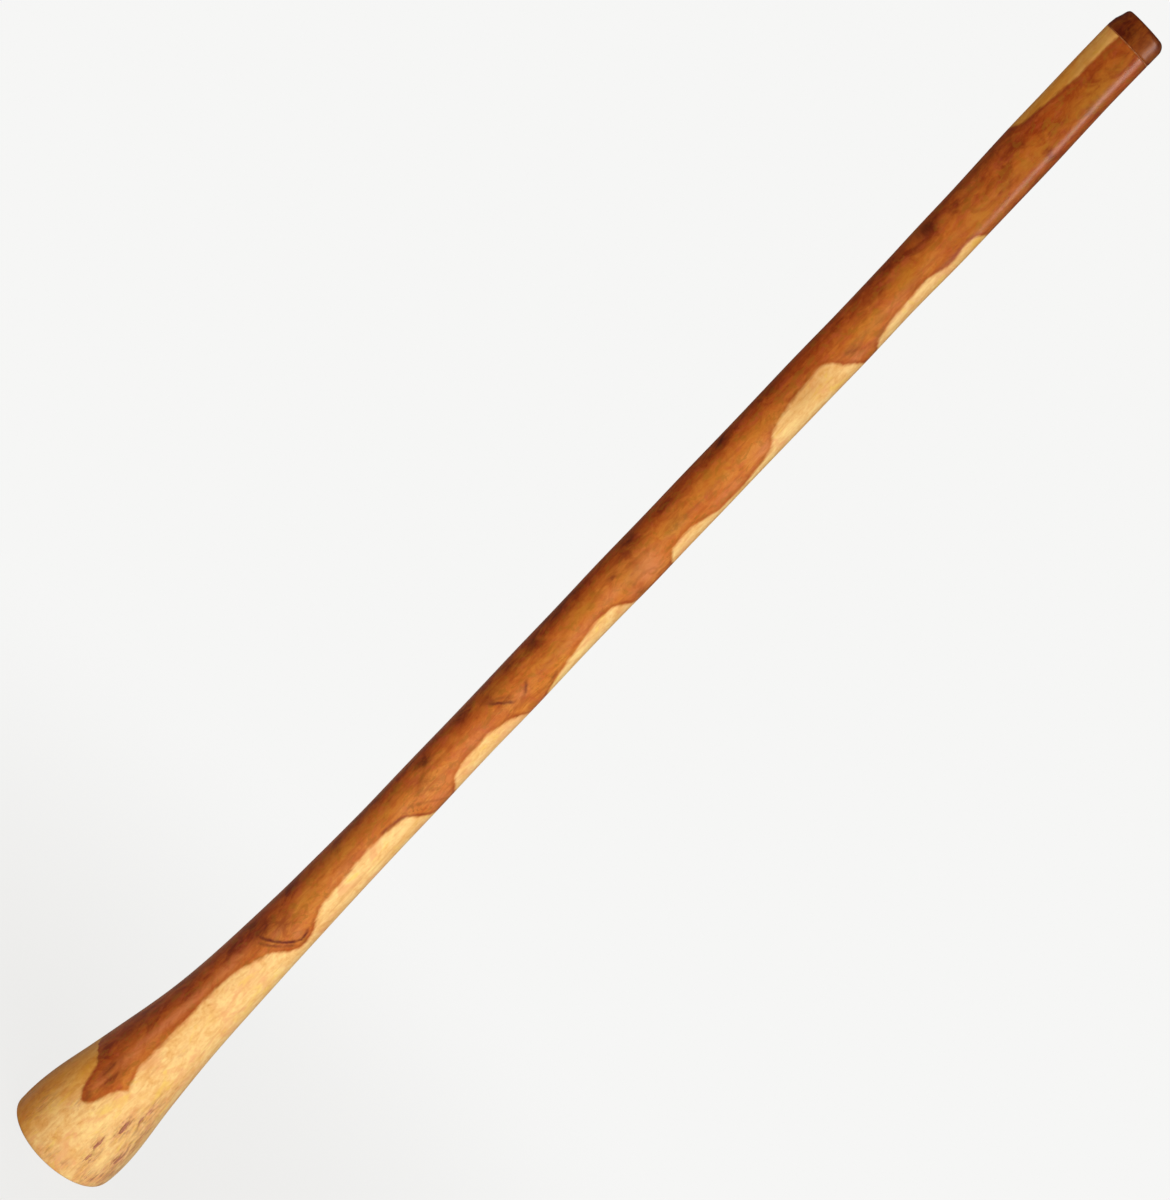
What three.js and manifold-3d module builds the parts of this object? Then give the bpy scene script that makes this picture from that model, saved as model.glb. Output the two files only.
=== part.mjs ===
// A didgeridoo standing on its bell: a hollowed log with a flared foot, a turned mouthpiece
// that plugs into the log's top on a bed of beeswax, and dark resin in the bell's drying checks.
// Millimetres, +Z up the log. Heights below count from the bell face.

import * as THREE from 'three';
import { mergeVertices } from 'three/addons/utils/BufferGeometryUtils.js';
import Module from 'manifold-3d';

// Length to the middle of the rim, and the clearance kept between pieces that touch.
const LENGTH = 1399;
const GAP = 0.3;

// The log's centre line: height, sideways sweep, fore-and-aft sweep.
const CENTRE_LINE = [
  [0, 0.6, 0],
  [100, 4.8, 1.0],
  [200, 9.9, 2.0],
  [300, 11.7, 2.7],
  [420, 11.8, 3.4],
  [600, 9.9, 3.8],
  [900, 8.1, 3.0],
  [1150, 6.3, 1.2],
  [1340, 3.3, 0],
];

// The bell's foot: a flat ring to stand on, with its outer and inner edges rounded.
const FOOT_RADIUS = 56.2;
const FOOT_BORE_RADIUS = 45.5;
const FOOT_OUTER_ROUNDING = 3.5;
const FOOT_INNER_ROUNDING = 2;
// The foot's outer edge is worn away round one bearing, where it lies on the ground in play.
const FOOT_WEAR = 8;
const FOOT_WEAR_BEARING = 42;
const FOOT_WEAR_FOCUS = 4;
const FOOT_WEAR_TOP = 75;

// The log's outside: radius, height. It flares into the bell and swells a little at the mouth.
const OUTSIDE = [
  [56.4, 24],
  [53.9, 51],
  [48.0, 86],
  [42.3, 125],
  [36.8, 165],
  [33.0, 205],
  [29.3, 265],
  [26.4, 340],
  [24.4, 450],
  [23.6, 600],
  [23.7, 930],
  [23.0, 1090],
  [24.6, 1255],
  [23.9, 1330],
];

// The log's bore, from the socket down to the bell: radius, height.
const BORE = [
  [15.8, 1200],
  [16.9, 800],
  [18.2, 500],
  [19.5, 350],
  [22.2, 260],
  [26.0, 195],
  [31.0, 140],
  [36.5, 95],
  [42.3, 52],
];

// The log's top end: the seam that the mouthpiece stands on, and the socket it plugs into.
const SEAM_HEIGHT = 1377;
const SEAM_RADIUS = 24.1;
const SEAM_SLOPE = Math.tan(THREE.MathUtils.degToRad(-2.5));
const SEAM_SLOPE_START = 1330;
const SOCKET_RADIUS = 19.5;
const SOCKET_DEPTH = 21;
const THROAT_RADIUS = 15.2;

// The beeswax bedding: a sleeve in the socket with a thin flange on the seam.
const WAX_THICKNESS = 1;
const WAX_FLANGE_THICKNESS = 0.5;
const WAX_FLANGE_RADIUS = 24;

// The mouthpiece: a collar whose -X side leans in, a rounded rim with a flat land, a spigot below.
const SPIGOT_LENGTH = 19.5;
const LIP_HOLE_RADIUS = 14.75;
const LIP_HOLE_ROUNDING = 1.3;
const COLLAR_BULGE_RADIUS = 23.9;
const COLLAR_BULGE_HEIGHT = 1387;
const COLLAR_SHOULDER_RADIUS = 22.2;
const COLLAR_SHOULDER_HEIGHT = 1393.5;
const COLLAR_LEAN = 1.9;
const RIM_LAND_RADIUS = 18.2;
const RIM_LAND_SHIFT = 1;
const RIM_DROOP = 1.9;
const RIM_SLOPE = Math.tan(THREE.MathUtils.degToRad(-3));

// Drying checks round the bell: height, bearing, half length, half width. A bearing is in
// degrees from -Y towards +X.
const DRYING_CHECKS = [
  [73, 35, 8.5, 2.1],
  [47, 25, 7.5, 1.7],
  [32, 27, 5.5, 1.5],
  [40, 57, 6.5, 1.9],
  [86, 46, 5.0, 1.4],
];

// Mesh fineness.
const SIDES = 36;
const STEPS_PER_SPAN = 2;
const ROUNDING_STEPS = 2;
const CHECK_SIDES = 10;
const CHECK_STEPS = 8;

const wasm = await Module();
wasm.setup();

const WOOD = { color: 0xa5561f, roughness: 0.3, metalness: 0 };
const DARK_WOOD = { color: 0x5c2410, roughness: 0.3, metalness: 0 };
const WAX = { color: 0x6b4419, roughness: 0.5, metalness: 0 };
const RESIN = { color: 0x4a2a22, roughness: 0.4, metalness: 0 };

// Smooth curves through the centre line's points, as functions of height.
function sweepCurve(column) {
  const heights = CENTRE_LINE.map((row) => row[0]);
  const offsets = CENTRE_LINE.map((row) => row[column]);
  const curve = new THREE.CubicInterpolant(heights, offsets, 1);
  const top = heights[heights.length - 1];
  return (height) => curve.evaluate(THREE.MathUtils.clamp(height, 0, top))[0];
}

const sweepX = sweepCurve(1);
const sweepY = sweepCurve(2);

// A closed outline of radius and height, turned about the Z axis and left with shared vertices.
function turned(path, steps) {
  const lathe = new THREE.LatheGeometry(path.getPoints(steps), SIDES);
  lathe.rotateX(Math.PI / 2);
  return welded(lathe);
}

function welded(geometry) {
  geometry.deleteAttribute('normal');
  geometry.deleteAttribute('uv');
  return mergeVertices(geometry);
}

// Moves every vertex by a function that changes a point in place.
function reshaped(geometry, change) {
  const positions = geometry.getAttribute('position');
  const point = new THREE.Vector3();
  for (let i = 0; i < positions.count; i += 1) {
    point.fromBufferAttribute(positions, i);
    change(point);
    positions.setXYZ(i, point.x, point.y, point.z);
  }
  return geometry;
}

// Sets a point on the log's swept centre line.
function sweep(point) {
  const height = point.z;
  point.x += sweepX(height);
  point.y += sweepY(height);
}

const pairsToPoints = (pairs) => pairs.map(([radius, height]) => new THREE.Vector2(radius, height));

function logOutline() {
  const path = new THREE.Path();
  path.moveTo(FOOT_BORE_RADIUS + FOOT_INNER_ROUNDING, 0);
  path.lineTo(FOOT_RADIUS - FOOT_OUTER_ROUNDING, 0);
  path.absarc(
    FOOT_RADIUS - FOOT_OUTER_ROUNDING,
    FOOT_OUTER_ROUNDING,
    FOOT_OUTER_ROUNDING,
    -Math.PI / 2,
    0,
  );
  path.splineThru(pairsToPoints([...OUTSIDE, [SEAM_RADIUS, SEAM_HEIGHT]]));
  path.lineTo(SOCKET_RADIUS, SEAM_HEIGHT);
  path.lineTo(SOCKET_RADIUS, SEAM_HEIGHT - SOCKET_DEPTH);
  path.lineTo(THROAT_RADIUS, SEAM_HEIGHT - SOCKET_DEPTH);
  path.splineThru(pairsToPoints([...BORE, [FOOT_BORE_RADIUS, FOOT_INNER_ROUNDING]]));
  path.absarc(
    FOOT_BORE_RADIUS + FOOT_INNER_ROUNDING,
    FOOT_INNER_ROUNDING,
    FOOT_INNER_ROUNDING,
    Math.PI,
    1.5 * Math.PI,
  );
  return path;
}

// Lifts the worn stretch of the foot's outer edge, and leaves the ring it stands on flat.
function wearFoot(point) {
  const radius = Math.hypot(point.x, point.y);
  if (point.z <= 0 || point.z > FOOT_WEAR_TOP || radius < FOOT_BORE_RADIUS + FOOT_INNER_ROUNDING) return;
  const away = Math.atan2(point.x, -point.y) - THREE.MathUtils.degToRad(FOOT_WEAR_BEARING);
  const share = ((1 + Math.cos(away)) / 2) ** FOOT_WEAR_FOCUS;
  const rise = Math.min(point.z / FOOT_OUTER_ROUNDING, 1);
  const fade = 1 - THREE.MathUtils.smoothstep(point.z, FOOT_OUTER_ROUNDING, FOOT_WEAR_TOP);
  point.z += FOOT_WEAR * share * rise * fade;
}

// Slopes the seam: the outside and the top face lean together, and the socket's floor stays level.
function slopeSeam(point) {
  if (Math.hypot(point.x, point.y) < SOCKET_RADIUS - GAP) return;
  if (point.z < SEAM_HEIGHT - GAP && Math.hypot(point.x, point.y) < SOCKET_RADIUS + GAP) return;
  const share = THREE.MathUtils.smoothstep(point.z, SEAM_SLOPE_START, SEAM_HEIGHT);
  point.z += SEAM_SLOPE * point.x * share;
}

function logGeometry() {
  return reshaped(turned(logOutline(), STEPS_PER_SPAN), (point) => {
    wearFoot(point);
    slopeSeam(point);
    sweep(point);
  });
}

const WAX_OUTER_RADIUS = SOCKET_RADIUS - GAP;
const WAX_INNER_RADIUS = WAX_OUTER_RADIUS - WAX_THICKNESS;
const SPIGOT_RADIUS = WAX_INNER_RADIUS - GAP;
const FLANGE_BOTTOM = SEAM_HEIGHT + GAP;
const FLANGE_TOP = FLANGE_BOTTOM + WAX_FLANGE_THICKNESS;
const COLLAR_BOTTOM = FLANGE_TOP + GAP;
const SPIGOT_BOTTOM = COLLAR_BOTTOM - SPIGOT_LENGTH;

// Leans the flange's two faces like the seam they lie on.
function slopeFlange(point) {
  if (point.z < FLANGE_BOTTOM - GAP) return;
  point.z += SEAM_SLOPE * point.x;
}

function waxGeometry() {
  const path = new THREE.Path();
  path.moveTo(WAX_INNER_RADIUS, SPIGOT_BOTTOM);
  path.lineTo(WAX_OUTER_RADIUS, SPIGOT_BOTTOM);
  path.lineTo(WAX_OUTER_RADIUS, FLANGE_BOTTOM);
  path.lineTo(WAX_FLANGE_RADIUS, FLANGE_BOTTOM);
  path.lineTo(WAX_FLANGE_RADIUS, FLANGE_TOP);
  path.lineTo(WAX_INNER_RADIUS, FLANGE_TOP);
  path.lineTo(WAX_INNER_RADIUS, SPIGOT_BOTTOM);
  return reshaped(turned(path, 1), (point) => {
    slopeFlange(point);
    sweep(point);
  });
}

function mouthpieceOutline() {
  const rimHeight = LENGTH - COLLAR_SHOULDER_HEIGHT;
  const path = new THREE.Path();
  path.moveTo(LIP_HOLE_RADIUS, SPIGOT_BOTTOM);
  path.lineTo(SPIGOT_RADIUS, SPIGOT_BOTTOM);
  path.lineTo(SPIGOT_RADIUS, COLLAR_BOTTOM);
  path.lineTo(SEAM_RADIUS, COLLAR_BOTTOM);
  path.quadraticCurveTo(
    COLLAR_BULGE_RADIUS,
    COLLAR_BULGE_HEIGHT,
    COLLAR_SHOULDER_RADIUS,
    COLLAR_SHOULDER_HEIGHT,
  );
  path.absellipse(
    RIM_LAND_RADIUS,
    COLLAR_SHOULDER_HEIGHT,
    COLLAR_SHOULDER_RADIUS - RIM_LAND_RADIUS,
    rimHeight,
    0,
    Math.PI / 2,
  );
  path.lineTo(LIP_HOLE_RADIUS + LIP_HOLE_ROUNDING, LENGTH);
  path.absarc(
    LIP_HOLE_RADIUS + LIP_HOLE_ROUNDING,
    LENGTH - LIP_HOLE_ROUNDING,
    LIP_HOLE_ROUNDING,
    Math.PI / 2,
    Math.PI,
  );
  path.lineTo(LIP_HOLE_RADIUS, SPIGOT_BOTTOM);
  return path;
}

// Slopes the collar's foot and rim, shifts its outside towards +X as it rises, and lets the
// rim's edge droop on that side. The rim's land stays flat.
function shapeCollar(point) {
  if (point.z < COLLAR_BOTTOM - GAP) return;
  const radius = Math.hypot(point.x, point.y);
  const height = point.z;
  const slope = THREE.MathUtils.lerp(
    SEAM_SLOPE,
    RIM_SLOPE,
    THREE.MathUtils.inverseLerp(COLLAR_BOTTOM, LENGTH, height),
  );
  if (radius > RIM_LAND_RADIUS - GAP) {
    const rise = shareBetween(COLLAR_BOTTOM, COLLAR_SHOULDER_HEIGHT, height);
    const rounding = height < COLLAR_SHOULDER_HEIGHT
      ? 0
      : shareBetween(COLLAR_SHOULDER_RADIUS, RIM_LAND_RADIUS, radius);
    const drooping = Math.max(0, point.x / radius) * rise * (1 - rounding);
    point.x += THREE.MathUtils.lerp(COLLAR_LEAN * rise ** 2, RIM_LAND_SHIFT, rounding);
    point.z -= RIM_DROOP * drooping;
  }
  point.z += slope * point.x;
}

function shareBetween(low, high, value) {
  return THREE.MathUtils.clamp(THREE.MathUtils.inverseLerp(low, high, value), 0, 1);
}

function mouthpieceGeometry() {
  return reshaped(turned(mouthpieceOutline(), ROUNDING_STEPS), (point) => {
    shapeCollar(point);
    sweep(point);
  });
}

// Booleans work on closed solids.
function toSolid(geometry) {
  return new wasm.Manifold(new wasm.Mesh({
    numProp: 3,
    vertProperties: new Float32Array(geometry.getAttribute('position').array),
    triVerts: new Uint32Array(geometry.index.array),
  }));
}

function toGeometry(solid) {
  const mesh = solid.getMesh();
  const geometry = new THREE.BufferGeometry();
  geometry.setAttribute('position', new THREE.BufferAttribute(mesh.vertProperties, 3));
  geometry.setIndex(new THREE.BufferAttribute(mesh.triVerts, 1));
  return geometry;
}

// The point of the log's outside at a height and an angle from -Y towards +X.
function surfacePoint(log, height, degrees) {
  const angle = THREE.MathUtils.degToRad(degrees);
  const outward = new THREE.Vector3(Math.sin(angle), -Math.cos(angle), 0);
  const origin = new THREE.Vector3(sweepX(height), sweepY(height), height);
  origin.addScaledVector(outward, 2 * FOOT_RADIUS);
  const ray = new THREE.Raycaster(origin, outward.clone().negate());
  return ray.intersectObject(log)[0].point;
}

// A spindle that is pointed at both ends and lies along the grain on the log's surface.
function spindle(log, [height, degrees, halfLength, halfWidth], inset) {
  const middle = surfacePoint(log, height, degrees);
  const grain = surfacePoint(log, height + halfLength, degrees).sub(middle).normalize();
  const long = halfLength - 2 * inset;
  const wide = halfWidth - inset;
  const outline = [];
  for (let i = 0; i <= CHECK_STEPS; i += 1) {
    const angle = Math.PI * (i / CHECK_STEPS - 0.5);
    const radius = i % CHECK_STEPS === 0 ? 0 : wide * Math.cos(angle);
    outline.push(new THREE.Vector2(radius, long * Math.sin(angle)));
  }
  const geometry = new THREE.LatheGeometry(outline, CHECK_SIDES);
  geometry.applyQuaternion(new THREE.Quaternion().setFromUnitVectors(THREE.Object3D.DEFAULT_UP, grain));
  geometry.translate(middle.x, middle.y, middle.z);
  return toSolid(welded(geometry));
}

function namedMesh(name, geometry, look) {
  geometry.computeVertexNormals();
  const mesh = new THREE.Mesh(geometry, new THREE.MeshStandardMaterial(look));
  mesh.name = name;
  return mesh;
}

const uncutLog = namedMesh('uncut_log', logGeometry(), WOOD);
const uncutSolid = toSolid(uncutLog.geometry);
const didgeridoo = new THREE.Group();

let trunk = uncutSolid;
DRYING_CHECKS.forEach((check, i) => {
  trunk = trunk.subtract(spindle(uncutLog, check, 0));
  const filler = uncutSolid.intersect(spindle(uncutLog, check, GAP));
  didgeridoo.add(namedMesh(`check_filler_${i + 1}`, toGeometry(filler), RESIN));
});
didgeridoo.add(namedMesh('trunk', toGeometry(trunk), WOOD));
didgeridoo.add(namedMesh('wax_seal', waxGeometry(), WAX));
didgeridoo.add(namedMesh('mouthpiece', mouthpieceGeometry(), DARK_WOOD));

// The origin goes to the middle of the foot, under the whole object's box.
const box = new THREE.Box3().setFromObject(didgeridoo);
const middle = box.getCenter(new THREE.Vector3());
didgeridoo.position.set(-middle.x, -middle.y, -box.min.z);

export default didgeridoo;
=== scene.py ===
import math

import bpy
import numpy as np
from mathutils import Matrix, Vector
from mathutils.bvhtree import BVHTree


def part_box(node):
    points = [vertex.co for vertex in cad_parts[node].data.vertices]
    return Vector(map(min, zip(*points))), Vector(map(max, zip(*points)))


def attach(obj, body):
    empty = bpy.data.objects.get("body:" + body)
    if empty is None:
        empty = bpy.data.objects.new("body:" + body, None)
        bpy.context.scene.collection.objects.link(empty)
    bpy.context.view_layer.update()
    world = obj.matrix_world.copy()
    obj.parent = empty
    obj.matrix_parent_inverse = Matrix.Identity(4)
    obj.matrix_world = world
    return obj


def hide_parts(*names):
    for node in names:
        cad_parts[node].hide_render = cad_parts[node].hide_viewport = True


# The looks of a didgeridoo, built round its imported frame. Metres, +Z up the log. A bearing is
# an angle round the log, from -Y towards +X. Lengths in lists are in millimetres where they say so.

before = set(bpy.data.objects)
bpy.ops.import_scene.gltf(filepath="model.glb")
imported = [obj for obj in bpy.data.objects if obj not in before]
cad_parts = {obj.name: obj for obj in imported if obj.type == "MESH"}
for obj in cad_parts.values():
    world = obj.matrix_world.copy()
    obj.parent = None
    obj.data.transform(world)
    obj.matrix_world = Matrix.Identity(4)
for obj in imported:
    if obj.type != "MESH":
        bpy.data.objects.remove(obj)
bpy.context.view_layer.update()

MM = 0.001
# Rays that look inwards start this far from the centre line.
REACH = 0.2
# Points this close to an extreme of their node count as lying on it.
NEAR = 1 * MM
# No sloped face of the seam rises more than this.
SLOPE_RISE = 4 * MM
RANDOM = np.random.default_rng(41)
FILLERS = [name for name in sorted(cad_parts) if name.startswith("check_filler_")]


# ---------------------------------------------------------------- shapes measured on the frame

def frame_points(name):
    """Every vertex of a CAD node, in the row frame."""
    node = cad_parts[name]
    return np.array([node.matrix_world @ vertex.co for vertex in node.data.vertices])


def frame_tree(*names):
    """The named CAD nodes as one tree for ray casts."""
    points, faces = [], []
    for name in names:
        start = len(points)
        points += [Vector(p) for p in frame_points(name)]
        faces += [[start + i for i in face.vertices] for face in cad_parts[name].data.polygons]
    return BVHTree.FromPolygons(points, faces)


def outward(bearings):
    """Unit vectors that point away from the log's axis, one row for each bearing."""
    return np.stack([np.sin(bearings), -np.cos(bearings), np.zeros_like(bearings)], axis=-1)


def cast(tree, origin, direction):
    """Distance along a ray to the first face that it meets."""
    return tree.ray_cast(Vector(origin), Vector(direction))[3]


def radii_from_outside(tree, centre, bearings):
    return np.array([REACH - cast(tree, centre + out * REACH, -out) for out in outward(bearings)])


def radii_from_inside(tree, centre, bearings):
    return np.array([cast(tree, centre, out) for out in outward(bearings)])


def smooth_round(values, waves):
    """Keeps only the slow changes round a ring, so that the frame's facets go."""
    spectrum = np.fft.rfft(values, axis=-1)
    spectrum[..., waves + 1:] = 0
    return np.fft.irfft(spectrum, n=values.shape[-1], axis=-1)


def smooth_along(values, reach):
    """Gaussian smoothing down the first axis. reach is in rows."""
    offsets = np.arange(-3 * reach, 3 * reach + 1)
    weights = np.exp(-0.5 * (offsets / reach) ** 2)
    weights /= weights.sum()
    columns = values.reshape(len(values), -1)
    ends = ((3 * reach, 3 * reach), (0, 0))
    padded = np.pad(columns, ends, mode="reflect", reflect_type="odd")
    smooth = [np.convolve(column, weights, mode="valid") for column in padded.T]
    return np.stack(smooth, axis=-1).reshape(values.shape)


def refine(heights, fine, values):
    """Values known at some heights, read at finer ones."""
    columns = values.reshape(len(values), -1)
    read = np.stack([np.interp(fine, heights, column) for column in columns.T], axis=-1)
    return read.reshape((len(fine), *values.shape[1:]))


class Log:
    """The log's centre line and walls, as smooth tables over height and bearing."""

    # The walls are measured from above the worn foot to just below the seam. The socket lies
    # within SOCKET_REACH of the top, and further in than the rim.
    LOWEST = 14 * MM
    BELOW_SEAM = 3 * MM
    SOCKET_REACH = 30 * MM
    RIM_WIDTH = 3 * MM
    MEASURED_STEP = 4 * MM
    TABLE_STEP = 1 * MM
    BEARINGS = np.linspace(0, 2 * np.pi, 72, endpoint=False)
    # How the tables are smoothed, down their rows and round the log.
    REACH_ROWS = 7
    WAVES = 4

    def __init__(self):
        self.tree = frame_tree("trunk", *FILLERS)
        self.points = frame_points("trunk")
        self.find_seam()
        top = self.seam_height - self.BELOW_SEAM
        heights = np.arange(self.LOWEST, top, self.MEASURED_STEP)
        centre = np.zeros(3)
        centres, outer, bore = [], [], []
        for height in heights:
            centre = self.centred(centre, height)
            centres.append(centre[:2])
            outer.append(radii_from_outside(self.tree, centre, self.BEARINGS))
            bore.append(radii_from_inside(self.tree, centre, self.BEARINGS))
        self.heights = np.arange(self.LOWEST, heights[-1], self.TABLE_STEP)
        self.centres = self.table(heights, np.array(centres))
        self.outer = smooth_round(self.table(heights, np.array(outer)), self.WAVES)
        in_bore = heights < self.socket_floor - self.BELOW_SEAM
        self.bore_heights = self.heights[self.heights < heights[in_bore][-1]]
        bore_table = refine(heights[in_bore], self.bore_heights, np.array(bore)[in_bore])
        self.bore = smooth_round(smooth_along(bore_table, self.REACH_ROWS), self.WAVES)
        self.relief = seeded_relief(18, (1, 4), (70 * MM, 420 * MM))
        self.bore_relief = seeded_relief(40, (2, 13), (25 * MM, 190 * MM))
        self.checks = [Check(self, name) for name in FILLERS]

    def table(self, heights, values):
        return smooth_along(refine(heights, self.heights, values), self.REACH_ROWS)

    def centred(self, guess, height):
        """The middle of the outside at a height, found from a guess by its first wave."""
        centre = np.array([guess[0], guess[1], height])
        for _ in range(2):
            radii = radii_from_outside(self.tree, centre, self.BEARINGS)
            centre[0] += 2 * np.mean(radii * np.sin(self.BEARINGS))
            centre[1] -= 2 * np.mean(radii * np.cos(self.BEARINGS))
        return centre

    def find_seam(self):
        """The plane of the top face, and the socket's wall and floor."""
        self.seam_plane, self.seam_centre = top_face(self.points)
        self.seam_height = height_on(self.seam_plane, *self.seam_centre)
        away = self.away(self.points)
        near_top = self.points[:, 2] > self.seam_height - self.SOCKET_REACH
        in_socket = near_top & (away < away[near_top].max() - self.RIM_WIDTH)
        self.socket_radius = away[in_socket].max()
        self.socket_floor = self.points[in_socket & (away > self.socket_radius - NEAR), 2].min()

    def centre_at(self, heights):
        return [np.interp(heights, self.heights, self.centres[:, axis]) for axis in (0, 1)]

    def read(self, heights, bearings, table_heights, table):
        """A table's value at each pair of a height and a bearing."""
        heights, bearings = np.broadcast_arrays(heights, bearings)
        # The last row stays a little short, so that there is always a row above it.
        row = np.clip((heights - table_heights[0]) / self.TABLE_STEP, 0, len(table_heights) - 1.001)
        column = (bearings % (2 * np.pi)) / (2 * np.pi) * len(self.BEARINGS)
        i, j = row.astype(int), column.astype(int) % len(self.BEARINGS)
        after = (j + 1) % len(self.BEARINGS)
        up, along = row - i, column - np.floor(column)
        low = table[i, j] * (1 - along) + table[i, after] * along
        high = table[i + 1, j] * (1 - along) + table[i + 1, after] * along
        return low * (1 - up) + high * up

    def outer_at(self, heights, bearings):
        return self.read(heights, bearings, self.heights, self.outer)

    def bore_at(self, heights, bearings):
        return self.read(heights, bearings, self.bore_heights, self.bore)

    def seam_at(self, bearings, radii):
        """Heights on the sloped seam at a radius."""
        x, y = self.centre_at(self.seam_height)
        return height_on(self.seam_plane, x + radii * np.sin(bearings), y - radii * np.cos(bearings))

    def point(self, heights, bearings, radii):
        """Places about the log's centre line."""
        return about(*self.centre_at(heights), heights, bearings, radii)

    def socket_point(self, heights, bearings, radii):
        """Places about the socket's upright axis."""
        return about(*self.seam_centre, heights, bearings, radii)

    def away(self, points):
        """How far points lie from the socket's axis."""
        return np.hypot(*(points[:, :2] - self.seam_centre).T)


def about(x, y, heights, bearings, radii):
    return np.stack([x + radii * np.sin(bearings), y - radii * np.cos(bearings),
                     heights + 0 * bearings], axis=-1)


def top_face(points):
    """The plane through a node's highest flat ring, and the ring's middle."""
    highest = points[:, 2].max()
    ring = points[points[:, 2] > highest - SLOPE_RISE]
    outline = ring[:, :2]
    centre = (outline.min(0) + outline.max(0)) / 2
    away = np.hypot(*(outline - centre).T)
    ring = ring[away > away.max() - NEAR]
    return fitted_plane(ring), centre


def fitted_plane(points):
    """The plane nearest to some points, as its height at x = y = 0 and its slopes."""
    rows = np.column_stack([np.ones(len(points)), points[:, :2]])
    return np.linalg.lstsq(rows, points[:, 2], rcond=None)[0]


def height_on(plane, x, y):
    return plane[0] + plane[1] * x + plane[2] * y


# ---------------------------------------------------------------- small tools for meshes

def ease(share):
    share = np.clip(share, 0, 1)
    return share * share * (3 - 2 * share)


def steps(count, start=0.0, end=1.0):
    """Even steps that leave out the start and end on the end."""
    return np.linspace(start, end, count + 1)[1:]


def new_piece(name, points, faces, body, replaced, materials):
    """A smooth mesh that rides a body and stands for one CAD node."""
    mesh = bpy.data.meshes.new(name)
    mesh.from_pydata([tuple(p) for p in points], [], faces)
    mesh.validate()
    mesh.polygons.foreach_set("use_smooth", [True] * len(mesh.polygons))
    piece = bpy.data.objects.new(name, mesh)
    bpy.context.collection.objects.link(piece)
    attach(piece, body)
    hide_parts(replaced)
    for material in materials:
        mesh.materials.append(material)
    return piece


def torus_faces(rings, columns):
    """Quads over rings that close on themselves both ways, facing away from the solid."""
    faces = []
    for i in range(rings):
        for j in range(columns):
            after, beside = (i + 1) % rings, (j + 1) % columns
            faces.append((i * columns + j, i * columns + beside,
                          after * columns + beside, after * columns + j))
    return faces


class Rings:
    """Rings round a centre line, stacked into a closed skin. Each has a zone for its material."""

    def __init__(self, point, bearings):
        self.point, self.bearings = point, bearings
        self.points, self.heights, self.radii, self.zones = [], [], [], []

    def add(self, heights, radii, zone=0):
        heights, radii = heights + 0 * self.bearings, radii + 0 * self.bearings
        self.points.append(self.point(heights, self.bearings, radii))
        self.heights.append(heights)
        self.radii.append(radii)
        self.zones.append(zone)

    def places(self):
        """Heights in mm, bearings, and radii in mm of every vertex."""
        bearings = np.tile(self.bearings, len(self.points))
        return np.concatenate(self.heights) / MM, bearings, np.concatenate(self.radii) / MM

    def piece(self, name, body, slot_name, replaced, materials):
        points = np.concatenate(self.points)
        faces = torus_faces(len(self.points), len(self.bearings))
        piece = new_piece(name, points, faces, body, replaced, materials)
        zones = np.repeat(self.zones, len(self.bearings))
        piece.data.polygons.foreach_set("material_index", zones)
        return piece


def even_bearings(count):
    return np.linspace(0, 2 * np.pi, count, endpoint=False)


def add_attribute(piece, name, values, kind="FLOAT"):
    attribute = piece.data.attributes.new(name, kind, "POINT")
    attribute.data.foreach_set("value" if kind == "FLOAT" else "vector", np.ravel(values))


# ---------------------------------------------------------------- node materials

def linear(colour):
    """A colour as the eye reads it on a screen, 0 to 255, as linear numbers for the shader."""
    shares = [channel / 255 for channel in colour]
    return tuple(s / 12.92 if s <= 0.04045 else ((s + 0.055) / 1.055) ** 2.4 for s in shares) + (1,)


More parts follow.
